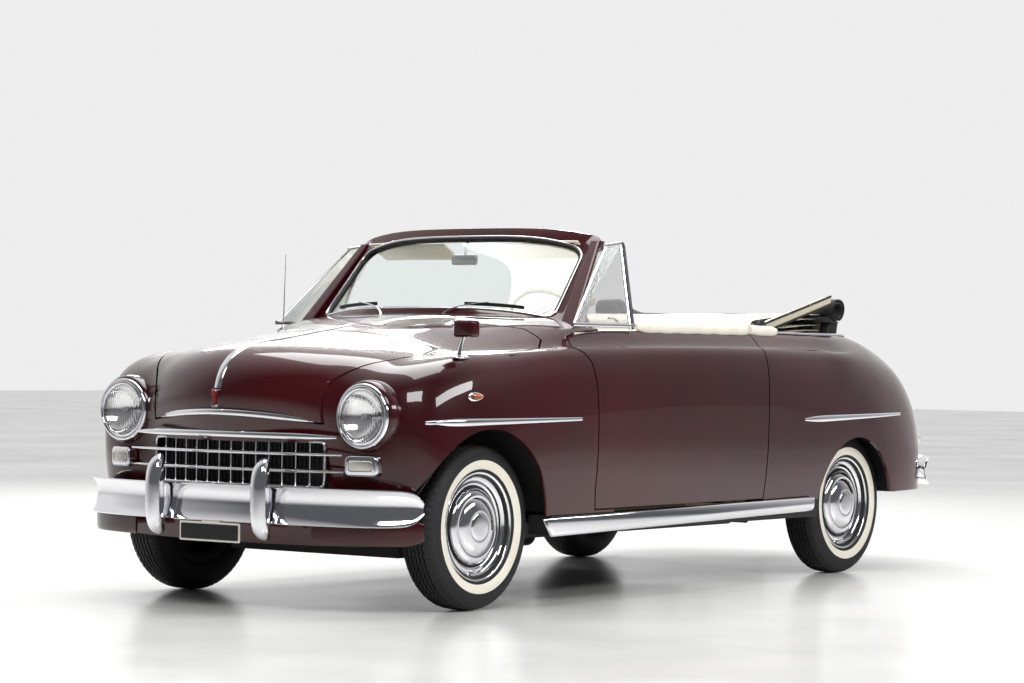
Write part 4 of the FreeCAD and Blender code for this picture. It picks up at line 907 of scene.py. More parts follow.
def tyre_bm(centre):
    """A cross-ply tyre: bead, white band, ribbed wall and zigzag tread."""
    wall = [(54, 188), (54, 199.6), (63, 200.5), (70, 208), (75, 219), (77.4, 232), (77.8, 239), (78, 241),
            (77.4, 243), (77, 256), (76.6, 258), (75.2, 259), (74.6, 261), (71.5, 275), (67, 285),
            (60, 293),
            (54, 296), (50, 299)]
    tread = []
    for groove in TREAD_GROOVES:
        tread += [(groove - 3.4, 1), (groove - 2.4, 0), (groove + 2.4, 0), (groove + 3.4, 1)]
    crown = [(x, 303 - 3.2 * (x / 50) ** 2 - (0 if top else 7.5)) for x, top in tread]
    profile = [(x, r) for x, r in wall] + [(x, r) for x, r in crown[::-1]] + [(-x, r) for x,
                                                                              r in wall[::-1]]
    bm = spun(profile, centre, (1, 0, 0), steps=ZIGZAGS * 6, closed=True)
    for v in bm.verts:
        x = (v.co.x - centre.x) / MM
        y, z = v.co.y - centre.y, v.co.z - centre.z
        r = math.hypot(y, z) / MM
        wave = (math.atan2(z, y) / (2 * math.pi) * ZIGZAGS) % 1.0
        if r > 292 and abs(x) < 45:
            v.co.x += (abs(wave - 0.5) * 4 - 1) * 3.0 * MM
        elif r > 292 and wave < 0.25:
            scale = 1 - 3.5 / r
            v.co.y, v.co.z = centre.y + y * scale, centre.z + z * scale
    for face in bm.faces:
        c = face.calc_center_median()
        r = math.hypot(c.y - centre.y, c.z - centre.z) / MM
        if c.x > centre.x and WHITE_BAND[0] < r < WHITE_BAND[1]:
            face.material_index = 1
    return bm


def wheel_bms(centre):
    """The painted wheel with its drum, and the bright ring and cap."""
    axis = (1, 0, 0)
    steel = [(61, 198), (54, 197.5), (53, 187), (10, 182), (-10, 168), (-45, 170), (-53, 187), (-54, 198),
             (-61, 198), (-60, 181), (-48, 163), (-12, 160), (12, 174), (34, 176), (38, 181), (60, 183)]
    dark = spun(steel, centre, axis, 72, True)
    join_bm(dark, spun([(29, 178), (33, 176), (33, 60), (27, 60), (27, 172)], centre, axis, 72, True))
    join_bm(dark, spun([(27, 40), (27, 118), (-14, 118), (-16, 122), (-20, 122), (-20, 44), (-14, 40)],
                       centre, axis, 72, True))
    ring = [(55, 200.2), (61, 200), (64, 197), (64, 193), (61, 189), (53, 186), (44, 181), (38, 174),
            (36, 166),
            (38, 158), (38, 153), (35, 149), (33.5, 149), (34, 160), (33.5, 170), (39, 180), (50, 188.5),
            (57, 191), (59, 196)]
    bright = spun(ring, centre, axis, 120, True)
    cap = [(33.6, 137), (38, 139), (43, 138), (48, 134), (52.5, 127), (55, 118), (56, 110), (54.5, 106.5),
           (54.5, 105), (58, 101), (63, 92), (67, 80), (69.6, 66), (70.4, 55), (70, 52.5), (71.6, 51),
           (73.2, 46), (74, 34), (74.3, 16), (74.4, 0)]
    join_bm(bright, spun(cap, centre, axis, 120))
    valve = cylinder_bm(0.004, 0.022, centre + Vector((0.034, 0, -0.163)), (1, 0, 0), 12)
    join_bm(bright, valve)
    return dark, bright


def build_wheels():
    """Four tyres with white bands, four painted wheels, four sets of bright ring and cap."""
    for row, y in (("front", 0.0), ("rear", WHEELBASE)):
        for side, sign in (("left", 1), ("right", -1)):
            centre = at(HALF_TRACK, y, AXLE_Z)
            body = "wheel_%s_%s" % (row, side)
            dark, bright = wheel_bms(centre)
            tyre = tyre_bm(centre)
            for bm, name, material, gone, slot in (
                    (tyre, "tyre", ["tyre_black_rubber", "tyre_white_rubber"], "tyre_%s_%s" % (row, side),
                     "tyre"),
                    (dark, "wheel_steel", ["satin_black_steel"], "wheel_%s_%s" % (row, side), "chrome"),
                    (bright, "wheel_bright", ["plated_chrome"], None, "chrome")):
                if sign < 0:
                    mirror_bm(bm)
                piece_from(bm, "%s_cover_%s_%s" % (name, row, side), body, material, 40.0,
                           (gone,) if gone else (), outward=False)


# ---- bumpers and grille ----
BLADE = [(-6, -66), (3, -60), (9, -48), (9.5, -36), (8, -33), (11, -28), (15, -10), (17, 10), (15.5, 30),
         (9, 50), (0, 62), (-8, 66), (-11, 62), (0, 48), (7, 28), (9, 10), (7, -10), (3, -30), (0, -48),
         (-10, -62)]


def flipped(outline):
    return [(-a, b) for a, b in outline[::-1]]


def blade_path(points, z):
    left = [(x, y) for x, y in points]
    full = [(-x, y) for x, y in left[:0:-1]] + left
    return [at(x, y, z) for x, y in full]


def build_bumpers():
    """Front and rear blades with their arms, and the two tall guards."""
    front = [(0, -622), (180, -619), (380, -601), (540, -570), (635, -535), (695, -497), (733, -460),
             (757, -428),
             (770, -406), (777, -388)]
    sizes = [0.3, 0.66, 0.87, 0.97] + [1.0] * 11 + [0.97, 0.87, 0.66, 0.3]
    bm = swept(blade_path(front, 381.5), outline=flipped(BLADE), sizes=sizes, smooth=10)
    for x in (353, -397):
        join_bm(bm, box_bm(x, x + 44, -584, -470.5, 338, 378))
    piece_from(bm, "bumper_blade_front", "body", ["plated_chrome"], 40.0, ("front_bumper",),
               False)
    rear = [(0, 3601), (180, 3598), (380, 3582), (540, 3548), (640, 3498), (712, 3426), (745, 3374),
            (762, 3332),
            (771, 3308), (776, 3293)]
    bm = swept(blade_path(rear, 426), outline=BLADE, sizes=sizes, smooth=10)
    for x in (353, -397):
        join_bm(bm, box_bm(x, x + 44, 3450.5, 3566, 402, 442))
    piece_from(bm, "bumper_blade_rear", "body", ["plated_chrome"], 40.0, ("rear_bumper",), False)
    apron = [at(x, y, z) for x, y,
             z in ((420, -566, 298), (540, -544, 298), (645, -508, 298), (720, -462, 298),
                                         (764, -415, 298), (776, -385, 300))]
    bm = swept(apron, outline=oval(10, 98, 20, 3), sizes=[1.0, 1.0, 1.0, 1.0, 0.92, 0.6], smooth=8)
    both_sides(bm)
    piece_from(bm, "apron_corners", "body", ["enamel_burgundy"], 50.0)
    guard = [(-610, 268), (-630, 276), (-645, 300), (-652, 345), (-653, 400), (-653, 450), (-651, 492),
             (-642, 524), (-622, 540)]
    path = [at(251, y, z) for y, z in guard]
    bm = swept(path, outline=oval(70, 60, 20, 2.3), sizes=[0.4, 0.8, 0.98, 1, 1, 1, 0.95, 0.76, 0.4],
               smooth=8,
               up="MINIMUM", tilt=0.0)
    both_sides(bm)
    piece_from(bm, "bumper_guard_pair", "body", ["plated_chrome"], 50.0, ("bumper_guards",),
               False)


def grille_front(x, z):
    """How far forward the bars of the grille stand at a place."""
    keys, values = (440, 497, 557, 618), (-516, -552, -562, -566)
    return float(np.interp(z, keys, values)) + 64.0 * (x / 503.0) ** 2


def bars_y(x):
    """How far forward the upright bars and their frame stand."""
    return -522.0 + 64.0 * (x / 503.0) ** 2


def bar_path(half, z, forward=0.0, count=12, drop=0.0):
    out = []
    for i in range(count + 1):
        x = -half + 2 * half * i / count
        low = z - drop * (x / half) ** 2
        out.append(at(x, grille_front(x, z) - forward, low))
    return out


def build_grille():
    """Bright grille: a broad top bar, two long bars, a frame and rows of thin upright bars."""
    taper = [0.35, 0.8] + [1.0] * 9 + [0.8, 0.35]
    bm = swept(bar_path(480, 627, 2, drop=3), outline=oval(16, 25, 16, 2.4), sizes=taper, smooth=6)
    for z in (563, 503):
        join_bm(bm,
                swept(bar_path(503, z, 8), outline=oval(12, 12, 12), sizes=[0.6] + [1.0] * 11 + [0.6],
                      smooth=6))
    corners = rounded([(-404, 606), (404, 606), (402, 446), (-402, 446)], 20, 5)
    dense = []
    for a, b in zip(corners, corners[1:] + corners[:1]):
        steps = max(1, int(math.hypot(b[0] - a[0], b[1] - a[1]) // 60))
        dense += [(a[0] + (b[0] - a[0]) * i / steps,
                   a[1] + (b[1] - a[1]) * i / steps) for i in range(steps)]
    join_bm(bm, swept([at(x, bars_y(x), z) for x, z in dense], radius=5.0, closed=True, smooth=2))
    for i in range(-6, 7):
        x = i * 57.5
        path = [at(x, bars_y(x), z) for z in (606, 550, 500, 446)]
        join_bm(bm, swept(path, outline=oval(6, 10, 8), smooth=3, up="MINIMUM"))
    piece_from(bm, "grille_bars", "body", ["plated_chrome"], 50.0, ("grille",), False)
    core = box_bm(-400, 400, -436, -420, 430, 612)
    for i in range(-19, 20):
        join_bm(core, box_bm(i * 20 - 1.5, i * 20 + 1.5, -442, -436, 432, 610))
    piece_from(core, "radiator_core", "body", ["satin_black_steel"], 30.0, outward=False)


# ---- trim on the skin ----
SIDE_SHEET = {}


def side_x(y, z):
    """How far out in mm the left side of the skin stands at a place."""
    if "grid" not in SIDE_SHEET:
        sheet = skin_at(np.linspace(0, U_END, 420),
                        np.linspace(0, 13.0, 150)) / MM + np.array([0, MID_Y, 0])
        SIDE_SHEET["grid"] = sheet.reshape(-1, 3)
    flat = SIDE_SHEET["grid"]
    gap = np.hypot(flat[:, 1] - y, flat[:, 2] - z)
    near = np.argsort(gap)[:4]
    weight = 1 / (gap[near] + 0.5)
    return float((flat[near, 0] * weight).sum() / weight.sum())


def build_side_trim():
    """Bright spears on the wings, the sill mouldings and the amber side repeaters."""
    bm = bmesh.new()
    for start, end in (((-375, 681), (497, 689)), ((2128, 671), (3000, 688))):
        path, sizes = [], []
        for i in range(13):
            t = i / 12
            y, z = start[0] + (end[0] - start[0]) * t, start[1] + (end[1] - start[1]) * t
            path.append(at(side_x(y, z) + 2.0, y, z))
            sizes.append((0.35, 0.82)[i] if i < 2 else 1.05 - 0.6 * t)
        join_bm(bm, swept(path, outline=oval(15, 30, 16, 2.2), sizes=sizes, smooth=5))
    both_sides(bm)
    piece_from(bm, "side_spears", "body", ["plated_chrome"], 50.0, outward=False)

    side = [(283, 322), (2226, 346), (2242, 342), (2246, 332), (2240, 302), (2226, 291), (2179, 287),
            (333, 257)]
    bm = block_x(side, 807.3, 815)
    outer = [f for f in bm.faces if f.calc_center_median().x > 0.8149]
    bmesh.ops.inset_region(bm, faces=outer, thickness=0.009, depth=0.004)
    bmesh.ops.inset_region(bm, faces=outer, thickness=0.012, depth=0.004)
    both_sides(bm)
    piece_from(bm, "sill_bright_strips", "body", ["plated_chrome"], 60.0, ("sill_mouldings",),
               False)

    base, amber = bmesh.new(), bmesh.new()
    x = side_x(-133, 773)
    for bm, size, out in ((base, (5, 46, 16), 0), (amber, (9, 34, 11), 5)):
        bmesh.ops.create_uvsphere(bm, u_segments=32, v_segments=16, radius=1.0)
        for v in bm.verts:
            t = v.co.y
            v.co = at(x + out + v.co.x * size[0], -133 + t * size[1],
                      773 + v.co.z * size[2] * (1 - 0.25 * t))
        both_sides(bm)
    piece_from(base, "repeater_bases", "body", ["plated_chrome"], 60.0, outward=False)
    piece_from(amber, "repeater_lenses", "body", ["amber_lens"], 60.0, outward=False)


def centre_path(s0, s1, count, lift):
    """Places along the car's middle line, lifted off the skin."""
    us = [u_of(s0 + (s1 - s0) * i / (count - 1)) for i in range(count)]
    line = skin_at(us, [V_MID])[:, 0]
    out = []
    for i, p in enumerate(line):
        ahead = Vector(line[min(i + 1, count - 1)] - line[max(i - 1, 0)]).normalized()
        normal = Vector((0, -ahead.z, ahead.y))
        if normal.z < 0:
            normal.negate()
        out.append(Vector(p) + normal * lift * MM)
    return out


def build_hood_trim():
    """The bright strip along the hood, its red block, and the moulding over the nose."""
    path = centre_path(front_fan(51.0), 150, 22, 1.0)
    sizes = [0.9, 1.0] + [1.05 - 0.6 * i / 19 for i in range(19)] + [0.3]
    bm = swept(path, outline=oval(34, 13, 16, 2.0), sizes=sizes, smooth=5)
    moulding = []
    for i in range(-8, 9):
        t = i / 8
        moulding.append(at(366 * t, -606 + 104 * t * t, 706 - 27 * t * t))
    join_bm(bm, swept(moulding, outline=oval(12, 22, 16, 2.4), smooth=6,
                      sizes=[0.35, 0.75, 0.95] + [1.0] * 11 + [0.95, 0.75, 0.35]))
    piece_from(bm, "hood_bright_trim", "hood", ["plated_chrome"], 50.0, outward=False)
    frame_bm = block_y(rounded([(-15, 722), (15, 722), (15, 788), (-15, 788)], 5), -617, -598)
    piece_from(frame_bm, "hood_badge_frame", "hood", ["plated_chrome"], 40.0, outward=False)
    badge = block_y(rounded([(-11, 727), (11, 727), (11, 783), (-11, 783)], 4), -623, -615)
    bmesh.ops.bevel(badge, geom=[e for e in badge.edges], offset=0.002, segments=2, affect="EDGES",
                    profile=0.5,
                    material=-1)
    piece_from(badge, "hood_badge_block", "hood", ["red_lens"], 40.0, outward=False)


# ---- lamps ----
def build_lamps():
    """Headlamps with bowl and bulb, parking lamps and tail lamps."""
    forward = (0, -1, 0)
    centre = at(573, -478, 701)
    rim = [(-30, 114), (-2, 116), (6, 116.5), (11, 113.5), (13, 109), (12, 105), (9, 103), (9, 101.5),
           (12, 100), (13, 97), (11.5, 94), (7, 92.5), (0, 92), (-30, 94)]
    bm = spun(rim, centre, forward, 96, True)
    both_sides(bm)
    piece_from(bm, "headlamp_rims", "body", ["plated_chrome"], 40.0, ("headlamps",), False)
    dome = [(7, 92.3), (11, 84), (15.5, 70), (19.5, 52), (22, 34), (23.4, 16), (23.8, 0)]
    inner = [(a - 3.5, r) for a, r in dome[::-1]]
    bm = spun(dome + inner, centre, forward, 72, True)
    both_sides(bm)
    piece_from(bm, "headlamp_glasses", "body", ["lamp_glass_ribbed"], 50.0, ("headlamp_lenses",),
               False)
    bowl = [(2, 92), (-6, 88), (-20, 76), (-34, 60), (-46, 40), (-54, 20), (-56, 0)]
    bm = spun(bowl, centre, forward, 72)
    bmesh.ops.reverse_faces(bm, faces=bm.faces)
    both_sides(bm)
    piece_from(bm, "headlamp_bowls", "body", ["silvered_bowl"], 50.0, outward=False)
    bm = spun([(-54, 0), (-54, 9), (-20, 9), (-14, 12), (-4, 12), (0, 9), (2, 0)], centre, forward, 32)
    both_sides(bm)
    piece_from(bm, "headlamp_bulb_shields", "body", ["plated_chrome_dull"], 40.0,
               outward=False)
    flare = [(-3, 116.6), (1, 119), (-3, 123), (-14, 127), (-32, 129), (-60, 128), (-60, 116.6)]
    bm = spun(flare, centre, forward, 96, True)
    both_sides(bm)
    piece_from(bm, "headlamp_flares", "body", ["enamel_burgundy"], 40.0, outward=False)

    shell, glass = bmesh.new(), bmesh.new()
    for bm, grow, y0, y1, edge in ((shell, 10, -495, -452, 7), (glass, -6, -501, -490, 4)):
        corner = rounded([(526 - grow, 501 - grow), (626 + grow, 501 - grow), (626 + grow, 553 + grow),
                          (526 - grow, 553 + grow)], 16 + grow / 2, 5)
        join_bm(bm, block_y(corner, y0, y1))
        front = [e for e in bm.edges if all(abs(v.co.y - at(0, y0, 0).y) < 1e-6 for v in e.verts)]
        bmesh.ops.bevel(bm, geom=front, offset=edge * MM, segments=3, affect="EDGES", profile=0.5,
                        material=-1)
        for v in bm.verts:
            v.co.y += 0.28 * (v.co.x - 0.576)
        both_sides(bm)
    piece_from(shell, "parking_lamp_shells", "body", ["plated_chrome"], 40.0, ("signal_lamps",),
               False)
    piece_from(glass, "parking_lamp_glasses", "body", ["parking_glass_ribbed"], 40.0,
               outward=False)
    centre = at(662, WHEELBASE + 735, 575)
    bm = spun([(-70, 37.8), (8, 37.8), (11, 36), (12, 33), (9, 31), (-70, 31)], centre, (0, 1, 0), 48, True)
    both_sides(bm)
    piece_from(bm, "tail_lamp_rims", "body", ["plated_chrome"], 40.0, outward=False)
    bm = spun([(-30, 0), (-30, 30.8), (9, 30.8), (15, 26), (19, 16), (20, 0)], centre, (0, 1, 0), 48)
    both_sides(bm)
    piece_from(bm, "tail_lamp_lenses", "body", ["red_lens"], 40.0, outward=False)


# ---- windshield ----
def bow(half, mid_y, mid_z, end_y, end_z, t):
    """A place on a bow across the car, furthest forward at its middle."""
    return Vector((half * t, mid_y + (end_y - mid_y) * t * t, mid_z + (end_z - mid_z) * t ** 4))


LOW_OUT, TOP_OUT = (664, 512, 1056, 650, 985), (598, 893, 1430, 968, 1388)
LOW_IN, TOP_IN = (572, 540, 1101, 667, 1062), (546, 862, 1392, 912, 1335)
PANE_NORMAL = Vector((0, -0.68, 0.733))


def pane_loop(radius, low, top, back, squeeze=0.0):
    """A loop with rounded corners on the sheet between two bows, back mm behind it."""
    width, height = 1120.0, 434.0
    right, upper = width - squeeze, height - squeeze
    flat = rounded([(squeeze, squeeze), (right, squeeze), (right, upper), (squeeze, upper)], radius, 8)
    dense = []
    for p, q in zip(flat, flat[1:] + flat[:1]):
        steps = 1 if abs(p[0] - q[0]) < 60 and abs(p[1] - q[1]) < 60 else 18
        dense += [(p[0] + (q[0] - p[0]) * i / steps,
                   p[1] + (q[1] - p[1]) * i / steps) for i in range(steps)]
    out = []
    for x, y in dense:
        s, t = x / width * 2 - 1, y / height
        place = bow(*low, s).lerp(bow(*top, s), t) - PANE_NORMAL * back
        out.append(at(*place))
    return out


def loop_edges(bm, places):
    verts = [bm.verts.new(p) for p in places]
    return [bm.edges.new(pair) for pair in zip(verts, verts[1:] + verts[:1])]


def build_windshield():
    """Painted surround with bright and black inner seals, pillars and a curved pane."""
    bm = bmesh.new()
    rings = [loop_edges(bm, pane_loop(*args)) for args in (
        (62, LOW_IN, TOP_IN, 30), (62, LOW_IN, TOP_IN, 2), (58, LOW_IN, TOP_IN, -2, -8),
        (52, LOW_OUT, TOP_OUT, -2, 6), (50, LOW_OUT, TOP_OUT, 4), (50, LOW_OUT, TOP_OUT, 32),
        (52, LOW_OUT, TOP_OUT, 38, 8))]
    for one, two in zip(rings, rings[1:] + rings[:1]):
        bmesh.ops.bridge_loops(bm, edges=one + two)
    foot = [(640, 540, 930), (712, 550, 930), (712, 636, 930), (640, 650, 930)]
    top = [(556, 930, 1372), (598, 934, 1372), (600, 972, 1372), (556, 972, 1372)]
    pillar = bmesh.new()
    loops = []
    for t in (0.0, 0.25, 0.5, 0.75, 1.0):
        corner = [Vector(p).lerp(Vector(q), t) for p, q in zip(foot, top)]
        flat = rounded([(c.x, c.y) for c in corner], 9, 3)
        loops.append(loop_edges(pillar, [at(x, y, corner[0].z) for x, y in flat]))
    for one, two in zip(loops, loops[1:]):
        bmesh.ops.bridge_loops(pillar, edges=one + two)
    bmesh.ops.holes_fill(pillar, edges=[e for e in pillar.edges if e.is_boundary])
    bmesh.ops.recalc_face_normals(pillar, faces=pillar.faces)
    both_sides(pillar)
    join_bm(bm, pillar)
    piece_from(bm, "windshield_surround", "body", ["enamel_burgundy"], 40.0, ("windshield_frame",))
    bright = swept(pane_loop(62, LOW_IN, TOP_IN, -1), radius=5.0, closed=True, smooth=1)
    piece_from(bright, "windshield_bright_bead", "body", ["plated_chrome"], 50.0,
               outward=False)
    seal = swept(pane_loop(60, LOW_IN, TOP_IN, 7, 7), radius=8.0, closed=True, smooth=1)
    piece_from(seal, "windshield_seal", "body", ["seal_black_rubber"], 50.0,
               outward=False)
    pane = bmesh.new()
    bmesh.ops.create_grid(pane, x_segments=40, y_segments=14, size=1)
    for v in pane.verts:
        place = bow(*LOW_IN, v.co.x).lerp(bow(*TOP_IN, v.co.x), (v.co.y + 1) / 2)
        v.co = at(*(place - PANE_NORMAL * 12))
    bmesh.ops.solidify(pane, geom=pane.faces, thickness=0.005)
    piece_from(pane, "windshield_pane", "body", ["clear_pane"], 40.0, ("windshield_glass",))


def vent_place(y, z, out=0.0):
    return at(733 - (z - 1036) * 0.2875 + out, y, z)


def build_vent_windows():
    """Quarter windows: bright frame and post, dark channel, pane and catch, one set on each door."""
    for side, end in ((1, "left"), (-1, "right")):
        body = "door_" + end
        bm = swept([vent_place(*p) for p in ((960, 1030), (983, 1150), (1006, 1262), (1027, 1366))],
                   outline=oval(20, 15, 12, 5), smooth=3)
        front = [(574, 1040), (640, 1102), (760, 1212), (850, 1292), (921, 1352)]
        join_bm(bm, swept([vent_place(*p) for p in front], outline=oval(8, 9, 12, 4), smooth=3))
        join_bm(bm, swept([vent_place(y, 1352 + (y - 915) * 0.13) for y in (912, 950, 990, 1028)],
                          outline=oval(14, 14, 12, 4), smooth=3))
        join_bm(bm,
                swept([vent_place(y, 1042) for y in (566, 700, 850, 966)], outline=oval(16, 16, 12, 4),
                      smooth=3))
        catch = swept([vent_place(y, z, x) for y, z,
                       x in ((890, 1052, -8), (892, 1068, -16), (884, 1072, -20),
                                                         (850, 1070, -20))], radius=4.0, smooth=4)
        join_bm(bm, catch)
        dark = swept([vent_place(y, z, 3) for y,
                      z in ((972, 1042), (993, 1150), (1014, 1262), (1033, 1358))],
                     outline=oval(12, 9, 10, 5), smooth=3)
        pane = bmesh.new()
        corners = [pane.verts.new(vent_place(y, z, -2)) for y, z in ((590, 1046), (962, 1046), (1022, 1356),
                                                                     (922, 1346))]
        pane.faces.new(corners)
        bmesh.ops.solidify(pane, geom=pane.faces, thickness=0.004)
        for piece, name, material, gone, slot in (
                (bm, "vent_bright_frame_", "plated_chrome", ("vent_frame_" + end,), "chrome"),
                (dark, "vent_channel_", "seal_black_rubber", (), "black_cloth"),
                (pane, "vent_pane_", "clear_pane", ("vent_glass_" + end,), "glass")):
            bmesh.ops.recalc_face_normals(piece, faces=piece.faces)
            if side < 0:
                mirror_bm(piece)
            piece_from(piece, name + end, body, [material], 40.0, gone, outward=False)


# ---- small fittings ----
def build_fittings():
    """Fender mirror, wipers, aerial, cabin mirror, sun visors and front plate."""
    x, y = 735, -131
    top = side_top(x, y)
    bm = bmesh.new()
    bmesh.ops.create_uvsphere(bm, u_segments=32, v_segments=12, radius=1.0)
    for v in bm.verts:
        v.co = at(x + v.co.x * 22, y + v.co.y * 40, top + v.co.z * 9)
    arm = [at(x + 2, y - 16, top), at(x + 4, y - 10, top + 40), at(x + 14, y - 2, top + 78),
           at(x + 20, y, 1000)]
    join_bm(bm, swept(arm, radius=6.0, sizes=[1.5, 1.0, 0.9, 0.9], smooth=8))
    piece_from(bm, "wing_mirror_arm", "body", ["plated_chrome"], 50.0, outward=False)
    shell = block_y(rounded([(714, 984), (806, 984), (806, 1046), (714, 1046)], 14, 5), -156, -118)
    bmesh.ops.bevel(shell, geom=[e for e in shell.edges if abs(e.verts[0].co.y - e.verts[1].co.y) < 1e-6
                                 and e.verts[0].co.y < at(0, -150, 0).y],
                    offset=0.012, segments=5, affect="EDGES", profile=0.5, material=-1)
    piece_from(shell, "wing_mirror_shell", "body", ["enamel_burgundy"], 40.0, ("fender_mirror",),
               False)
    glass = block_y(rounded([(718, 988), (802, 988), (802, 1042), (718, 1042)], 11, 5), -118, -116)
    piece_from(glass, "wing_mirror_glass", "body", ["silvered_bowl"], 40.0, outward=False)

    arms, blades = bmesh.new(), bmesh.new()
    pivot = bow(*LOW_OUT, 0.23)
    join_bm(arms,
            cylinder_bm(0.014, 0.022, at(151, pivot.y + 4, pivot.z + 2), (0, -0.68, 0.733), 20, 0.009))
    tips = []
    for s, t, lift in ((0.27, -0.03, 14), (0.40, 0.02, 16), (0.56, 0.07, 12)):
        p = bow(*LOW_IN, s).lerp(bow(*TOP_IN, s), t) + PANE_NORMAL * lift
        tips.append(at(*p))
    join_bm(arms, swept([at(151, pivot.y - 6, pivot.z + 16)] + tips, outline=oval(9, 5, 10, 3), smooth=5))
    both_sides(arms)
    piece_from(arms, "wiper_arms", "body", ["plated_chrome_dull"], 50.0, outward=False)
    line = []
    for s in (0.38, 0.48, 0.58, 0.70, 0.80):
        p = bow(*LOW_IN, s).lerp(bow(*TOP_IN, s), 0.055 + 0.01 * s) + PANE_NORMAL * 4
        line.append(at(*p))
    join_bm(blades, swept(line, outline=oval(5, 14, 10, 4), smooth=4))
    both_sides(blades)
    piece_from(blades, "wiper_blades", "body", ["seal_black_rubber"], 50.0,
               outward=False)

    foot = at(-690, 560, side_top(690, 560) - 3)
    aerial = swept([foot, foot + Vector((0, 0.004, 0.13)), foot + Vector((0, 0.010, 0.30))], radius=2.2,
                   sizes=[1.3, 1.0, 0.6], smooth=4)
    join_bm(aerial, cylinder_bm(0.011, 0.014, foot, (0, 0, 1), 20, 0.006))
    piece_from(aerial, "aerial", "body", ["plated_chrome"], 50.0, outward=False)

    mirror = block_y(rounded([(-62, 1278), (62, 1278), (62, 1320), (-62, 1320)], 12, 4), 848, 862)
    bmesh.ops.bevel(mirror, geom=[e for e in mirror.edges if e.verts[0].co.y < at(0, 850, 0).y
                                  and e.verts[1].co.y < at(0, 850, 0).y],
                    offset=0.008, segments=4, affect="EDGES", profile=0.5, material=-1)
    join_bm(mirror, swept([at(0, 886, 1384), at(0, 872, 1360), at(0, 862, 1318)], radius=5.0, smooth=5))
    piece_from(mirror, "cabin_mirror", "body", ["plated_chrome_dull"], 40.0, ("interior_mirror",),
               False)
    visor = bmesh.new()
    bmesh.ops.create_grid(visor, x_segments=18, y_segments=6, size=1)
    for v in visor.verts:
        bulge = 0.012 * (1 - v.co.x ** 2) * (1 - v.co.y ** 2)
        v.co = at(-330 + v.co.x * 190, 908 + (v.co.y + 1) * 52,
                  1366 - (v.co.y + 1) * 26) - Vector((0, 0, bulge))
    bmesh.ops.solidify(visor, geom=visor.faces, thickness=0.008)
    join_bm(visor, swept([at(-520, 900, 1368), at(-330, 900, 1372), at(-140, 900, 1376)], radius=5.0))
    both_sides(visor)
    piece_from(visor, "sun_visors", "body", ["cream_hide"], 50.0)

    plate = block_y(rounded([(-143, 243), (143, 243), (143, 312), (-143, 312)], 5, 3), -634, -631)
    join_bm(plate, box_bm(-40, 40, -631, -604, 296, 316))
    piece_from(plate, "front_plate_rim", "body", ["plate_white_enamel"], 30.0, ("plates",), False)
    face = block_y(rounded([(-136, 250), (136, 250), (136, 305), (-136, 305)], 4, 3), -636, -633)
    piece_from(face, "front_plate_face", "body", ["plate_black_enamel"], 30.0, outward=False)


def side_top(x, y):
    """Height in mm of the skin over a plan place."""
    if "top" not in SIDE_SHEET:
        sheet = skin_at(np.linspace(0, U_END, 420),
                        np.linspace(4.0, V_MID, 160)) / MM + np.array([0, MID_Y, 0])
        SIDE_SHEET["top"] = sheet.reshape(-1, 3)
    flat = SIDE_SHEET["top"]
    gap = np.hypot(flat[:, 0] - abs(x), flat[:, 1] - y)
    near = [i for i in np.argsort(gap)[:24] if gap[i] < gap.min() + 12]
    return float(max(flat[i, 2] for i in near[:4]))


# ---- seats ----
def bevelled(bm, width, segments=4):
    """Rounds every edge of a block by width mm."""
    bmesh.ops.recalc_face_normals(bm, faces=bm.faces)
    bmesh.ops.bevel(bm, geom=list(bm.edges), offset=width * MM, segments=segments, affect="EDGES",
                    profile=0.5,
                    material=-1)
    return bm


def stuffed(bm, name, cap, voxel=0.011):
    """Blows a smaller start block up into a stuffed pad, no point moving further than cap mm."""
    start = bpy.data.objects.new(name, plain_mesh(bm, name))
    bpy.context.scene.collection.objects.link(start)
    grid = start.modifiers.new("even", "REMESH")
    grid.mode, grid.voxel_size = "VOXEL", voxel
    mesh = applied(start)
    start.modifiers.clear()
    start.data = mesh
    rest = np.zeros(len(mesh.vertices) * 3)
    mesh.vertices.foreach_get("co", rest)
    rest = rest.reshape(-1, 3)
    cloth = start.modifiers.new("cloth", "CLOTH")
    cloth.settings.use_pressure = True
    cloth.settings.uniform_pressure_force = 4.0
    cloth.settings.effector_weights.gravity = 0.0
    cloth.settings.quality = 4
    cloth.point_cache.frame_start, cloth.point_cache.frame_end = 1, 20
    for frame_number in range(1, 21):
        bpy.context.scene.frame_set(frame_number)
    mesh = applied(start)
    start.modifiers.clear()
    bpy.context.scene.frame_set(1)
    moved = np.zeros(len(mesh.vertices) * 3)
    mesh.vertices.foreach_get("co", moved)
    step = moved.reshape(-1, 3) - rest
    length = np.linalg.norm(step, axis=1)
    step *= (np.minimum(length, cap * MM) / np.maximum(length, 1e-9))[:, None]
    mesh.vertices.foreach_set("co", (rest + step).ravel())
    start.data = mesh
    smooth = start.modifiers.new("smooth", "SUBSURF")
    smooth.levels = smooth.render_levels = 1
    mesh = applied(start)
    bpy.data.objects.remove(start)
    return mesh


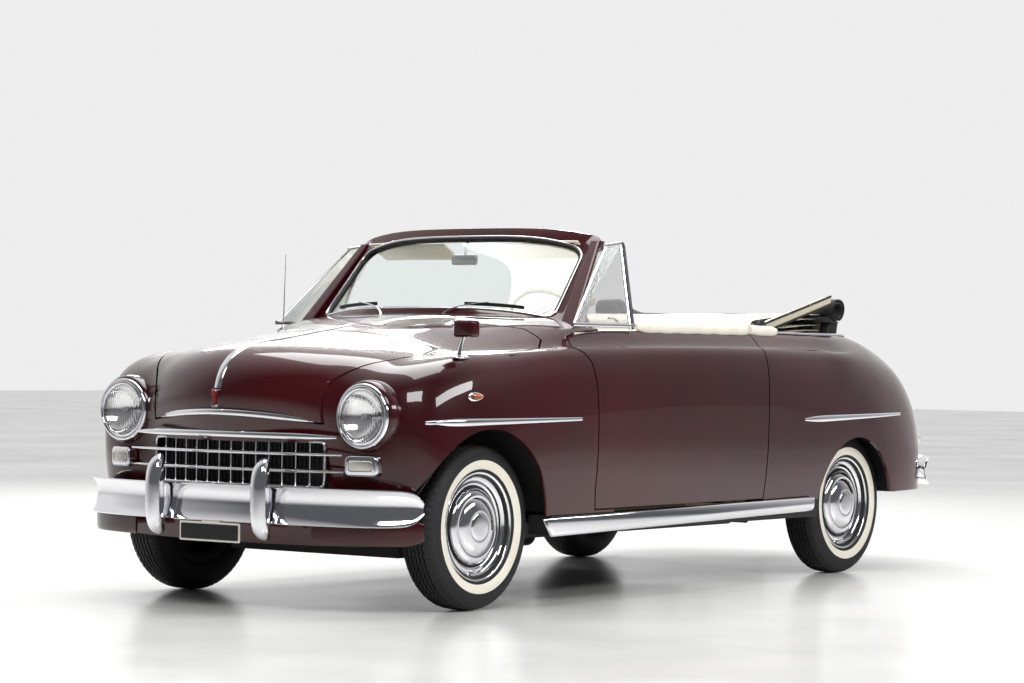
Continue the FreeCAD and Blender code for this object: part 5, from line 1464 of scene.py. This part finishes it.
def pad(name, bm, low_z, facing, centre_x, width, cap=24.0, pleat=62.0):
    """A stuffed pad with sewn pleats on the side it is sat on, flat below low_z mm."""
    bm = bm_of(stuffed(bm, name, cap))
    bmesh.ops.recalc_face_normals(bm, faces=bm.faces)
    facing = Vector(facing).normalized()
    bm.normal_update()
    for v in bm.verts:
        across = v.co.x / MM - centre_x
        gap = abs((across + pleat / 2) % pleat - pleat / 2)
        toward = v.normal.dot(facing)
        if toward > 0.2 and abs(across) < width / 2 - 30:
            v.co -= v.normal * 0.008 * math.exp(-(gap / 6.0) ** 2) * min(1.0, (toward - 0.2) * 2.5)
        v.co.z = max(v.co.z, low_z * MM)
    piece = piece_from(bm, name, "body", ["cream_hide"], 60.0)
    return piece


def build_seats():
    """Front and rear seats: stuffed pleated pads on trimmed bases."""
    bases = bmesh.new()
    for side in (1, -1):
        x0, x1 = sorted((side * 60, side * 630))
        join_bm(bases, bevelled(box_bm(x0 + 8, x1 - 8, 1018, 1552, 320, 484), 14))
        shell = [(1522, 500), (1566, 500), (1694, 1020), (1676, 1040), (1640, 1024)]
        join_bm(bases, bevelled(block_x(shell, x0 + 10, x1 - 10), 9))
        name = "left" if side > 0 else "right"
        seat = bevelled(box_bm(x0 + 24, x1 - 24, 1032, 1520, 498, 618), 30)
        pad("front_cushion_" + name, seat, 484, (0, 0, 1), side * 345, 570)
        back = [(1512, 655), (1540, 655), (1666, 1018), (1622, 1018)]
        back = bevelled(block_x(back, x0 + 24, x1 - 24), 12)
        pad("front_backrest_" + name, back, 636, (0, -1, 0.25), side * 345, 570, 22.0)
    join_bm(bases, bevelled(box_bm(-550, 550, 1826, 2170, 320, 484), 14))
    piece_from(bases, "seat_bases", "body", ["cream_door_hide"], 50.0, ("front_seats", "rear_seat"))
    pad("rear_cushion", bevelled(box_bm(-528, 528, 1842, 2120, 498, 618), 30), 484, (0, 0, 1), 0, 1100)
    back = [(2130, 655), (2160, 655), (2206, 960), (2160, 960)]
    pad("rear_backrest", bevelled(block_x(back, -528, 528), 12), 636, (0, -1, 0.15), 0, 1100, 22.0)


# ---- cabin ----
def build_cabin():
    """Dash with dials, carpet, side trim and wells."""
    y = 735
    dash = bmesh.new()
    for z, r in ((868, 5), (1004, 4)):
        join_bm(dash, swept([at(-640, y + 2, z), at(0, y + 2, z), at(640, y + 2, z)], radius=r))
    for i in range(7):
        join_bm(dash, box_bm(-92, 92, y, y + 6, 896 + i * 13, 901 + i * 13))
    for x, r in ((380, 66), (252, 36), (508, 36)):
        join_bm(dash, spun([(0, r), (12, r), (16, r - 3), (15, r - 7), (8, r - 9), (0, r - 9)],
                           at(x, y, 940), (0, 1, 0), 64, True))
    for x in (-180, -140, 140, 180):
        join_bm(dash,
                spun([(0, 5), (16, 5), (17, 13), (26, 14), (29, 11), (30, 0)], at(x, y, 888), (0, 1, 0),
                     24))
    join_bm(dash, bevelled(box_bm(-420, -360, y + 8, y + 14, 985, 995), 2, 2))
    piece_from(dash, "dash_bright_trim", "body", ["plated_chrome"], 40.0)
    lid = block_y(rounded([(-540, 890), (-240, 890), (-240, 992), (-540, 992)], 18, 4), y - 4, y + 8)
    front = [e for e in lid.edges if all(v.co.y > at(0, y + 7, 0).y for v in e.verts)]
    bmesh.ops.bevel(lid, geom=front, offset=0.003, segments=3, affect="EDGES", profile=0.5, material=-1)
    piece_from(lid, "glove_box_lid", "body", ["enamel_cream"], 40.0)
    dials, marks = bmesh.new(), bmesh.new()
    for x, r in ((380, 58), (252, 28), (508, 28)):
        join_bm(dials, spun([(0, r), (7, r), (7, 0)], at(x, y, 940), (0, 1, 0), 48))
        count = 24 if r > 40 else 8
        for i in range(count + 1):
            turn = math.radians(-130 + 260 * i / count)
            side, up = math.sin(turn), math.cos(turn)
            length = 9 if i % 4 == 0 else 5
            a, b = r - 5, r - 5 - length
            join_bm(marks,
                    swept([at(x + side * a, y + 8, 940 + up * a), at(x + side * b, y + 8, 940 + up * b)],
                                 radius=0.9))
        join_bm(marks, swept([at(x, y + 10, 940), at(x - r * 0.5, y + 10, 940 + r * 0.45)], radius=1.2))
    piece_from(dials, "dial_faces", "body", ["plate_black_enamel"], 40.0)
    piece_from(marks, "dial_marks", "body", ["ivory_moulding"], 40.0)

    carpet = bmesh.new()
    bmesh.ops.create_grid(carpet, x_segments=80, y_segments=70, size=0.5)
    for v in carpet.verts:
        ripple = 0.0012 * math.sin(v.co.x * 41) * math.sin(v.co.y * 37)
        v.co = Vector((v.co.x * 1.38, at(0, 482, 0).y + (v.co.y + 0.5) * 1.33, 0.3225 + ripple))
    bmesh.ops.solidify(carpet, geom=carpet.faces, thickness=0.002)
    piece = piece_from(carpet, "floor_carpet", "body", ["carpet_brown"], 40.0)

    trim = bmesh.new()
    card = [(1864, 332), (2226, 332), (2226, 1000), (1864, 1000)]
    join_bm(trim, bevelled(block_x(card, 694, 704), 3, 2))
    join_bm(trim, bevelled(box_bm(562, 694, 1862, 2220, 320, 640), 22))
    both_sides(trim)
    piece_from(trim, "rear_side_trim", "body", ["cream_door_hide"], 50.0)
    seal = swept([at(716, 1856, z) for z in (360, 600, 820, 1016)], outline=oval(34, 12, 12, 3), smooth=2,
                 up="MINIMUM")
    both_sides(seal)
    piece_from(seal, "door_shut_seals", "body", ["seal_black_rubber"], 50.0)


def build_door_trim():
    """Inner trim, arm rest, handles and the soft rail along the belt of each door."""
    for side, end in ((1, "left"), (-1, "right")):
        body = "door_" + end
        card = [(644, 362), (1832, 362), (1832, 1012), (1500, 1022), (600, 1012), (600, 940), (628, 820),
                (636, 684)]
        bm = bevelled(block_x(card, 712, 721.5), 2, 2)
        join_bm(bm, bevelled(box_bm(676, 714, 1130, 1520, 700, 752), 15))
        for z in (470, 860):
            join_bm(bm, swept([at(712, 660, z), at(712, 1240, z), at(712, 1810, z)], radius=4.0))
        path = [at(722, y, side_top(722, y) + 9 + 3 * math.sin(y * 0.045)) for y in range(1008, 1829, 41)]
        rail = swept(path, outline=oval(34, 46, 18, 2.4), smooth=3,
                     sizes=[0.5, 0.85] + [1.0] * (len(path) - 4) + [0.95, 0.8])
        metal = spun([(0, 16), (4, 16), (6, 10), (12, 8), (14, 0)], at(712, 1000, 640), (-1, 0, 0), 28)
        join_bm(metal,
                swept([at(700, 1000, 640), at(694, 1030, 596), at(694, 1052, 560)], radius=5.0, smooth=6))
        join_bm(metal,
                spun([(0, 0), (0, 8), (22, 9), (24, 6), (25, 0)], at(694, 1052, 560), (-1, 0, 0), 20))
        join_bm(metal, spun([(0, 14), (5, 14), (8, 9), (12, 0)], at(712, 1200, 800), (-1, 0, 0), 28))
        join_bm(metal,
                swept([at(702, 1200, 800), at(698, 1150, 804), at(698, 1090, 800)], radius=5.0, smooth=6,
                             sizes=[1.2, 1.0, 0.7]))
        for piece, name, material, slot in ((bm, "door_trim_", "cream_door_hide", "cream_leather"),
                                            (rail, "door_belt_rail_", "cream_lining_cloth", "cream_cloth"),
                                            (metal, "door_handles_", "plated_chrome", "chrome")):
            if side < 0:
                mirror_bm(piece)
            made = piece_from(piece, name + end, body, [material], 50.0)


def build_steering():
    """Ivory wheel with finger grips, bright horn ring and boss."""
    centre, axis = at(380, 934.5, 1005.5), Vector((0, 0.8660254, 0.5))
    rim = spun([(9 * math.cos(a), 195 + 9 * math.sin(a)) for a in np.linspace(0, 2 * math.pi, 16,
                                                                              endpoint=False)],
               centre, axis, 180, True)
    for v in rim.verts:
        out = v.co - centre
        flat = out - axis * out.dot(axis)
        inner = max(0.0, (0.195 - flat.length) / 0.009)
        v.co += flat.normalized() * 0.003 * inner * (0.5 + 0.5 * math.cos(math.atan2(flat.x,
                                                                                     flat.dot(Vector((
            0, -0.5, 0.8660254)))) * 36))
    down = Vector((0, 0.5, -0.8660254))
    for along in (Vector((1, 0, 0)), Vector((-1, 0, 0)), down):
        path = [centre + along * 0.02 + axis * 0.004, centre + along * 0.09 - axis * 0.004,
                centre + along * 0.19]
        join_bm(rim, swept(path, outline=oval(10, 18, 14), sizes=[1.4, 0.9, 0.8], smooth=8))
    join_bm(rim,
            spun([(-24, 9.5), (-24, 26), (-14, 30), (2, 30), (8, 27), (11, 22), (11, 9.5)], centre, axis,
                 48, True))
    piece_from(rim, "steering_rim", "steering_wheel", ["ivory_moulding"], 50.0, ("steering_wheel",))
    horn = spun([(10, 24), (14, 22), (18, 14), (20, 0)], centre, axis, 48)
    ring = spun([(8 + 3 * math.cos(a), 112 + 3 * math.sin(a)) for a in np.linspace(0, 2 * math.pi, 10,
                                                                                  endpoint=False)],
                centre, axis, 120, True)
    join_bm(horn, ring)
    for x in (1, -1):
        join_bm(horn, swept([centre + Vector((x * 0.02, 0, 0)) + axis * 0.010,
                             centre + Vector((x * 0.112, 0, 0)) + axis * 0.008], radius=2.6))
    piece_from(horn, "horn_ring", "steering_wheel", ["plated_chrome"], 50.0)


# ---- folded top ----
def cloth_strip(name, section, half, waves, thick, material, replaces, count=72,
                sag=0.0):
    """A cloth folded to a section of (y, z) places and stretched across the car, half mm to each side."""
    line = [Vector((y, z)) for y, z in section]
    steps = [0.0]
    for a, b in zip(line, line[1:]):
        steps.append(steps[-1] + (b - a).length)
    rows = 260
    bm = bmesh.new()
    bmesh.ops.create_grid(bm, x_segments=count, y_segments=rows, size=1)
    for v in bm.verts:
        s = (v.co.y + 1) / 2 * steps[-1]
        y = float(np.interp(s, steps, [p.x for p in line]))
        z = float(np.interp(s, steps, [p.y for p in line]))
        lift = waves * (math.sin(v.co.x * 7.3 + s * 0.004) * 0.5 + math.sin(v.co.x * 3.1 - s * 0.011) * 0.5)
        sunk = sag * (1 - min(1.0, max(0.0, (abs(v.co.x) * half - 380) / 150)) ** 2 * 1.0)
        v.co = at(v.co.x * half, y + lift * 0.5, z + lift - sunk)
    bmesh.ops.solidify(bm, geom=bm.faces, thickness=thick * MM)
    piece = piece_from(bm, name, "body", [material], 60.0, replaces)
    return piece


def build_folded_top():
    """The folded soft top: stacked lining, outer cloth rolled at the back, side rails and pivots."""
    stack = []
    for layer in range(4):
        z, back = 1004 + layer * 23, layer % 2
        ends = (2760 - layer * 14, 2136 + layer * 8) if back else (2136 + layer * 8, 2760 - layer * 14)
        slope = [14, 24, 34, 46, 48, 40]
        for i in range(24):
            t = i / 23
            y = ends[0] + (ends[1] - ends[0]) * t
            hump = float(np.interp((y - 2130) / 640, (0, 0.2, 0.45, 0.7, 0.9, 1), slope))
            stack.append((y, z + hump))
        if layer < 3:
            turn = -1 if back else 1
            for i in range(1, 6):
                a = math.pi * i / 6
                stack.append((ends[1] + turn * 11.5 * math.sin(a), z + 11.5 - 11.5 * math.cos(a)))
    stack += [(2136, 1082), (2124, 1066), (2119, 1036), (2121, 1000)]
    cloth_strip("top_lining_folds", stack, 560, 3.0, 1.5, "cream_lining_cloth", ("top_lining",))
    coil = []
    for i in range(150):
        t = i / 149
        turn = -math.pi / 2 - t * 2 * math.pi * 2.3
        radius = 57 - 30 * t + 2.0 * math.sin(turn * 3)
        coil.append((2754 + radius * 1.05 * math.cos(turn), 1140 + radius * 0.96 * math.sin(turn)))
    coil = [(2650, 1108), (2690, 1092), (2725, 1084)] + coil
    cloth_strip("top_cloth_roll", coil, 628, 2.6, 2.4, "black_top_cloth", ("top_roll",),
                90, 62.0)
    rail = bevelled(block_x([(2078, 1032), (2132, 1030), (2664, 1160), (2676, 1196), (2640, 1196),
                             (2084, 1064)],
                            608, 638), 6, 3)
    for y in (2300, 2480):
        z = 1046 + (y - 2090) * 0.25
        join_bm(rail, spun([(0, 7), (4, 7), (6, 4), (6, 0)], at(638, y, z + 16), (1, 0, 0), 20))
    both_sides(rail)
    piece_from(rail, "top_side_rails", "body", ["enamel_cream"], 40.0, ("top_rails",))
    edge = bmesh.new()
    side = [at(718, y, side_top(718, y) + 9) for y in range(1858, 2075, 30)]
    cuff = swept(side, outline=oval(34, 44, 18, 2.4), sizes=[0.8] + [1.0] * (len(side) - 2) + [0.6],
                 smooth=3)
    both_sides(cuff)
    piece_from(cuff, "rear_belt_rolls", "body", ["cream_lining_cloth"], 50.0)
    for dz in (-17, 18):
        join_bm(edge, swept([at(640, 2088, 1048 + dz), at(640, 2380, 1114 + dz), at(640, 2660, 1180 + dz)],
                            radius=5.0))
    join_bm(edge, spun([(0, 0), (0, 36), (10, 36), (14, 30), (14, 0)], at(634, 2082, 1050), (1, 0, 0), 40))
    join_bm(edge,
            bevelled(block_x([(2052, 1010), (2120, 1010), (2104, 1070), (2070, 1084)], 612, 640), 6, 3))
    join_bm(edge,
            bevelled(block_x([(2690, 1010), (2770, 1010), (2790, 1092), (2715, 1092)], 560, 606), 6, 3))
    both_sides(edge)
    piece_from(edge, "top_hinge_brackets", "body", ["satin_black_steel"], 40.0)
    bolts = spun([(12, 0), (12, 14), (19, 13), (22, 8), (22, 0)], at(634, 2082, 1050), (1, 0, 0), 24)
    plan = rounded([(712, 1860), (712, 2300), (646, 2780), (556, 2900)], 60, 6)
    path = [at(x, y, side_top(x, y) + 3) for x, y in plan if y < 2880]
    join_bm(bolts, swept(path, radius=5.0, smooth=4))
    both_sides(bolts)
    piece_from(bolts, "top_well_beads", "body", ["plated_chrome"], 50.0)


# ---- running gear and what stays from the frame ----
KEPT = {
    "satin_black_steel": ("chassis_frame", "floor_pan", "firewall", "inner_panels", "sills",
                          "front_suspension",
                          "rear_axle", "propeller_shaft", "fuel_tank", "steering_column"),
    "bare_steel": ("exhaust", "rear_springs", "knuckle_left", "knuckle_right"),
    "cast_iron_block": ("engine_block",),
    "enamel_cream": ("dashboard",),
}


def build_running_gear():
    """Finishes for the frame, floor, axles and engine, with the engine's own fittings."""
    for finish, nodes in KEPT.items():
        for node in nodes:
            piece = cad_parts[node]
            piece.data.materials.clear()
            piece.data.materials.append(finish_of(finish))
    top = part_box("engine_block")[1][2] / MM
    cover = bevelled(box_bm(-70, 70, -120, 330, top - 4, top + 26), 9)
    for y in range(-80, 300, 60):
        join_bm(cover, bevelled(box_bm(-52, 52, y, y + 12, top + 22, top + 31), 3, 2))
    piece_from(cover, "rocker_cover", "body", ["satin_black_steel"], 40.0)


def build_trunk_handle():
    """Bright pull handle and lock on the back of the trunk lid."""
    side_top(0, 3300)
    flat = SIDE_SHEET["top"]
    middle = flat[(np.abs(flat[:, 0]) < 40) & (flat[:, 1] > 3150)]
    middle = middle[np.argsort(middle[:, 2])]
    heights = (712, 690, 650, 615, 598)
    backs = np.interp(heights, middle[:, 2], middle[:, 1])
    path = [at(0, back + out, z) for back, out, z in zip(backs, (1, 20, 27, 20, 1), heights)]
    bm = swept(path, outline=oval(22, 11, 16, 2.4), sizes=[1.3, 1.0, 0.9, 0.9, 1.1], smooth=6)
    lock = float(np.interp(755, middle[:, 2], middle[:, 1]))
    join_bm(bm, spun([(-2, 14), (4, 13), (6, 10), (6, 0)], at(0, lock, 755), (0, 1, 0.15), 32))
    piece_from(bm, "trunk_handle", "trunk_lid", ["plated_chrome"], 50.0)


# ---- stage ----
def build_stage(look):
    """Plain pale glossy floor, soft lamps and the camera."""
    floor_material, tree, shader = new_material("pale_studio_floor", look.floor_colour, Roughness=0.2)
    tone = speckle(tree, object_place(tree), 0.8, 4)
    tree.links.new(spread(tree, tone, 0.14, 0.26), shader.inputs["Roughness"])
    MATERIALS["pale_studio_floor"] = floor_material
    bm = bmesh.new()
    bmesh.ops.create_grid(bm, x_segments=8, y_segments=8, size=40)
    floor = link("studio_floor", mesh_of(bm, "studio_floor", outward=False), "pale_studio_floor")

    world = bpy.data.worlds.new("soft_studio")
    bpy.context.scene.world = world
    world.use_nodes = True
    tree = world.node_tree
    tree.nodes.clear()
    place = add_node(tree, "ShaderNodeTexCoord")
    ahead = add_node(tree, "ShaderNodeVectorMath", {0: place.outputs["Generated"], 1: (-0.72, 0.58, 0.38)},
                     operation="DOT_PRODUCT")
    ramp = add_node(tree, "ShaderNodeValToRGB", {"Fac": ahead.outputs["Value"]})
    ramp.color_ramp.elements[0].position = 0.0
    ramp.color_ramp.elements[0].color = linear(look.horizon_colour)
    ramp.color_ramp.elements[1].position = 0.62
    ramp.color_ramp.elements[1].color = linear(look.zenith_colour)
    light = add_node(tree, "ShaderNodeBackground", {"Color": ramp.outputs[0], "Strength": look.world_light})
    add_node(tree, "ShaderNodeOutputWorld", {"Surface": light.outputs[0]})

    for name, place, target, width, height, power in (
            ("key_softbox", (4.5, -5.5, 5.5), (0, -0.5, 0.6), 4.0, 2.2, 330),
            ("left_strip", (6.5, 1.5, 3.6), (0, 0.6, 0.7), 5.0, 1.0, 180),
            ("overhead_softbox", (-0.5, 0.3, 6.0), (0, 0.0, 0.5), 3.4, 5.6, 330),
            ("back_softbox", (-5.0, 5.0, 4.0), (0, 0.8, 0.8), 4.0, 1.6, 300)):
        lamp = bpy.data.lights.new(name, "AREA")
        lamp.shape = "RECTANGLE"
        lamp.size, lamp.size_y = width, height
        lamp.energy = power
        lamp_object = bpy.data.objects.new(name, lamp)
        bpy.context.scene.collection.objects.link(lamp_object)
        lamp_object.location = place
        lamp_object.rotation_euler = (Vector(target) - Vector(place)).to_track_quat("-Z", "Y").to_euler()

    yaw, pitch, roll = (math.radians(a) for a in look.camera_turn)
    ahead = Vector((-math.sin(yaw) * math.cos(pitch), math.cos(yaw) * math.cos(pitch), math.sin(pitch)))
    right = Vector((math.cos(yaw), math.sin(yaw), 0))
    above = right.cross(ahead)
    right, above = (right * math.cos(roll) + above * math.sin(roll),
                    above * math.cos(roll) - right * math.sin(roll))
    camera = bpy.data.objects.new("camera", bpy.data.cameras.new("camera"))
    bpy.context.scene.collection.objects.link(camera)
    turn = Matrix((right, above, -ahead)).transposed().to_4x4()
    camera.matrix_world = Matrix.Translation(look.camera_place) @ turn
    camera.data.lens = look.camera_lens
    camera.data.sensor_width = 36.0
    camera.data.clip_end = 200.0
    bpy.context.scene.camera = camera
    bpy.context.scene.view_settings.view_transform = "Standard"
    bpy.context.scene.view_settings.look = "None"


# ---- settings, operators and panel ----
class OpenCarColours(bpy.types.PropertyGroup):
    """Colours of the car's main finishes."""
    paint_dark: bpy.props.StringProperty(name="Paint, dark", description="Body enamel in its deepest tone",
                                         default="#2c0208")
    paint_light: bpy.props.StringProperty(name="Paint, light",
                                          description="Body enamel in its lightest tone",
                                          default="#40040b")


class OpenCarLook(bpy.types.PropertyGroup):
    """The studio around the car and the camera in it."""
    floor_colour: bpy.props.StringProperty(name="Floor", description="Colour of the floor",
                                           default="#e8e8e6")
    horizon_colour: bpy.props.StringProperty(name="Room side",
                                             description="Studio light from behind the viewer",
                                             default="#66676b")
    zenith_colour: bpy.props.StringProperty(name="Backdrop", description="Studio light ahead and above",
                                            default="#ffffff")
    world_light: bpy.props.FloatProperty(name="Room light",
                                         description="Strength of the studio's own light",
                                         default=0.85, min=0.0, max=5.0)
    camera_place: bpy.props.FloatVectorProperty(name="Camera", description="Place of the camera",
                                                default=(7.0036, -9.8892, 0.9206), size=3, unit="LENGTH")
    camera_turn: bpy.props.FloatVectorProperty(name="Camera turn", size=3, default=(36.10, 0.281, 0.782),
                                               description="Yaw to the left, pitch up and roll, in degrees")
    camera_lens: bpy.props.FloatProperty(name="Lens", description="Focal length in millimetres",
                                         default=102.46, min=20.0, max=300.0)


class OpenCarBodyShell(bpy.types.Operator):
    """Builds the fixed outer panels."""
    bl_idname = "open_car.body_shell"
    bl_label = "Body shell"

    def execute(self, context):
        build_body_shell()
        return {"FINISHED"}


class OpenCarHood(bpy.types.Operator):
    """Builds the hood."""
    bl_idname = "open_car.hood"
    bl_label = "Hood"

    def execute(self, context):
        build_hood()
        return {"FINISHED"}


class OpenCarTrunkLid(bpy.types.Operator):
    """Builds the trunk lid."""
    bl_idname = "open_car.trunk_lid"
    bl_label = "Trunk lid"

    def execute(self, context):
        build_trunk_lid()
        return {"FINISHED"}


class OpenCarDoors(bpy.types.Operator):
    """Builds both doors and the pillars behind them."""
    bl_idname = "open_car.doors"
    bl_label = "Doors"

    def execute(self, context):
        build_doors()
        return {"FINISHED"}


class OpenCarWheels(bpy.types.Operator):
    """Builds the tyres, wheels and bright caps."""
    bl_idname = "open_car.wheels"
    bl_label = "Wheels"

    def execute(self, context):
        build_wheels()
        return {"FINISHED"}


class OpenCarBumpers(bpy.types.Operator):
    """Builds both bumpers and the guards."""
    bl_idname = "open_car.bumpers"
    bl_label = "Bumpers"

    def execute(self, context):
        build_bumpers()
        return {"FINISHED"}


class OpenCarGrille(bpy.types.Operator):
    """Builds the grille."""
    bl_idname = "open_car.grille"
    bl_label = "Grille"

    def execute(self, context):
        build_grille()
        return {"FINISHED"}


class OpenCarSideTrim(bpy.types.Operator):
    """Builds the side spears, sill strips and repeaters."""
    bl_idname = "open_car.side_trim"
    bl_label = "Side trim"

    def execute(self, context):
        build_side_trim()
        return {"FINISHED"}


class OpenCarHoodTrim(bpy.types.Operator):
    """Builds the hood's bright trim and badge."""
    bl_idname = "open_car.hood_trim"
    bl_label = "Hood trim"

    def execute(self, context):
        build_hood_trim()
        return {"FINISHED"}


class OpenCarLamps(bpy.types.Operator):
    """Builds the headlamps, parking lamps and tail lamps."""
    bl_idname = "open_car.lamps"
    bl_label = "Lamps"

    def execute(self, context):
        build_lamps()
        return {"FINISHED"}


class OpenCarWindshield(bpy.types.Operator):
    """Builds the windshield with its seals."""
    bl_idname = "open_car.windshield"
    bl_label = "Windshield"

    def execute(self, context):
        build_windshield()
        return {"FINISHED"}


class OpenCarVents(bpy.types.Operator):
    """Builds the quarter windows."""
    bl_idname = "open_car.vent_windows"
    bl_label = "Vent windows"

    def execute(self, context):
        build_vent_windows()
        return {"FINISHED"}


class OpenCarFittings(bpy.types.Operator):
    """Builds mirrors, wipers, aerial, visors and plate."""
    bl_idname = "open_car.fittings"
    bl_label = "Fittings"

    def execute(self, context):
        build_fittings()
        return {"FINISHED"}


class OpenCarSeats(bpy.types.Operator):
    """Builds the front and rear seats."""
    bl_idname = "open_car.seats"
    bl_label = "Seats"

    def execute(self, context):
        build_seats()
        return {"FINISHED"}


class OpenCarCabin(bpy.types.Operator):
    """Builds the dash, carpet and side trim."""
    bl_idname = "open_car.cabin"
    bl_label = "Cabin"

    def execute(self, context):
        build_cabin()
        return {"FINISHED"}


class OpenCarDoorTrim(bpy.types.Operator):
    """Builds the doors' inner trim and handles."""
    bl_idname = "open_car.door_trim"
    bl_label = "Door trim"

    def execute(self, context):
        build_door_trim()
        return {"FINISHED"}


class OpenCarSteering(bpy.types.Operator):
    """Builds the steering wheel and horn ring."""
    bl_idname = "open_car.steering"
    bl_label = "Steering wheel"

    def execute(self, context):
        build_steering()
        return {"FINISHED"}


class OpenCarFoldedTop(bpy.types.Operator):
    """Builds the folded soft top."""
    bl_idname = "open_car.folded_top"
    bl_label = "Folded top"

    def execute(self, context):
        build_folded_top()
        return {"FINISHED"}


class OpenCarRunningGear(bpy.types.Operator):
    """Finishes the frame, axles and engine."""
    bl_idname = "open_car.running_gear"
    bl_label = "Running gear"

    def execute(self, context):
        build_running_gear()
        return {"FINISHED"}


class OpenCarTrunkHandle(bpy.types.Operator):
    """Builds the handle and lock of the trunk lid."""
    bl_idname = "open_car.trunk_handle"
    bl_label = "Trunk handle"

    def execute(self, context):
        build_trunk_handle()
        return {"FINISHED"}


class OpenCarStage(bpy.types.Operator):
    """Builds the floor, the lights and the camera."""
    bl_idname = "open_car.stage"
    bl_label = "Stage"

    def execute(self, context):
        build_stage(context.scene.open_car_look)
        return {"FINISHED"}


OPERATORS = (OpenCarBodyShell, OpenCarHood, OpenCarTrunkLid, OpenCarDoors, OpenCarWheels, OpenCarBumpers,
             OpenCarGrille, OpenCarSideTrim, OpenCarHoodTrim, OpenCarLamps, OpenCarWindshield, OpenCarVents,
             OpenCarFittings, OpenCarSeats, OpenCarCabin, OpenCarDoorTrim, OpenCarSteering,
             OpenCarFoldedTop, OpenCarRunningGear, OpenCarTrunkHandle, OpenCarStage)


class VIEW3D_PT_open_car(bpy.types.Panel):
    """Sidebar panel of the car's settings and pieces."""
    bl_label = "Open Car"
    bl_space_type = "VIEW_3D"
    bl_region_type = "UI"
    bl_category = "Open Car"

    def draw(self, context):
        column = self.layout.column()
        for settings in (context.scene.open_car_colours, context.scene.open_car_look):
            for key in settings.__annotations__:
                column.prop(settings, key)
        for operator in OPERATORS:
            column.operator(operator.bl_idname)


CLASSES = (OpenCarColours, OpenCarLook, *OPERATORS, VIEW3D_PT_open_car)


def register():
    for item in CLASSES:
        bpy.utils.register_class(item)
    bpy.types.Scene.open_car_colours = bpy.props.PointerProperty(type=OpenCarColours)
    bpy.types.Scene.open_car_look = bpy.props.PointerProperty(type=OpenCarLook)


def unregister():
    del bpy.types.Scene.open_car_look
    del bpy.types.Scene.open_car_colours
    for item in reversed(CLASSES):
        bpy.utils.unregister_class(item)


def main():
    register()
    make_materials(bpy.context.scene.open_car_colours)
    for operator in OPERATORS:
        group, name = operator.bl_idname.split(".")
        getattr(getattr(bpy.ops, group), name)()
    bpy.context.view_layer.update()


if __name__ == "__main__":
    main()
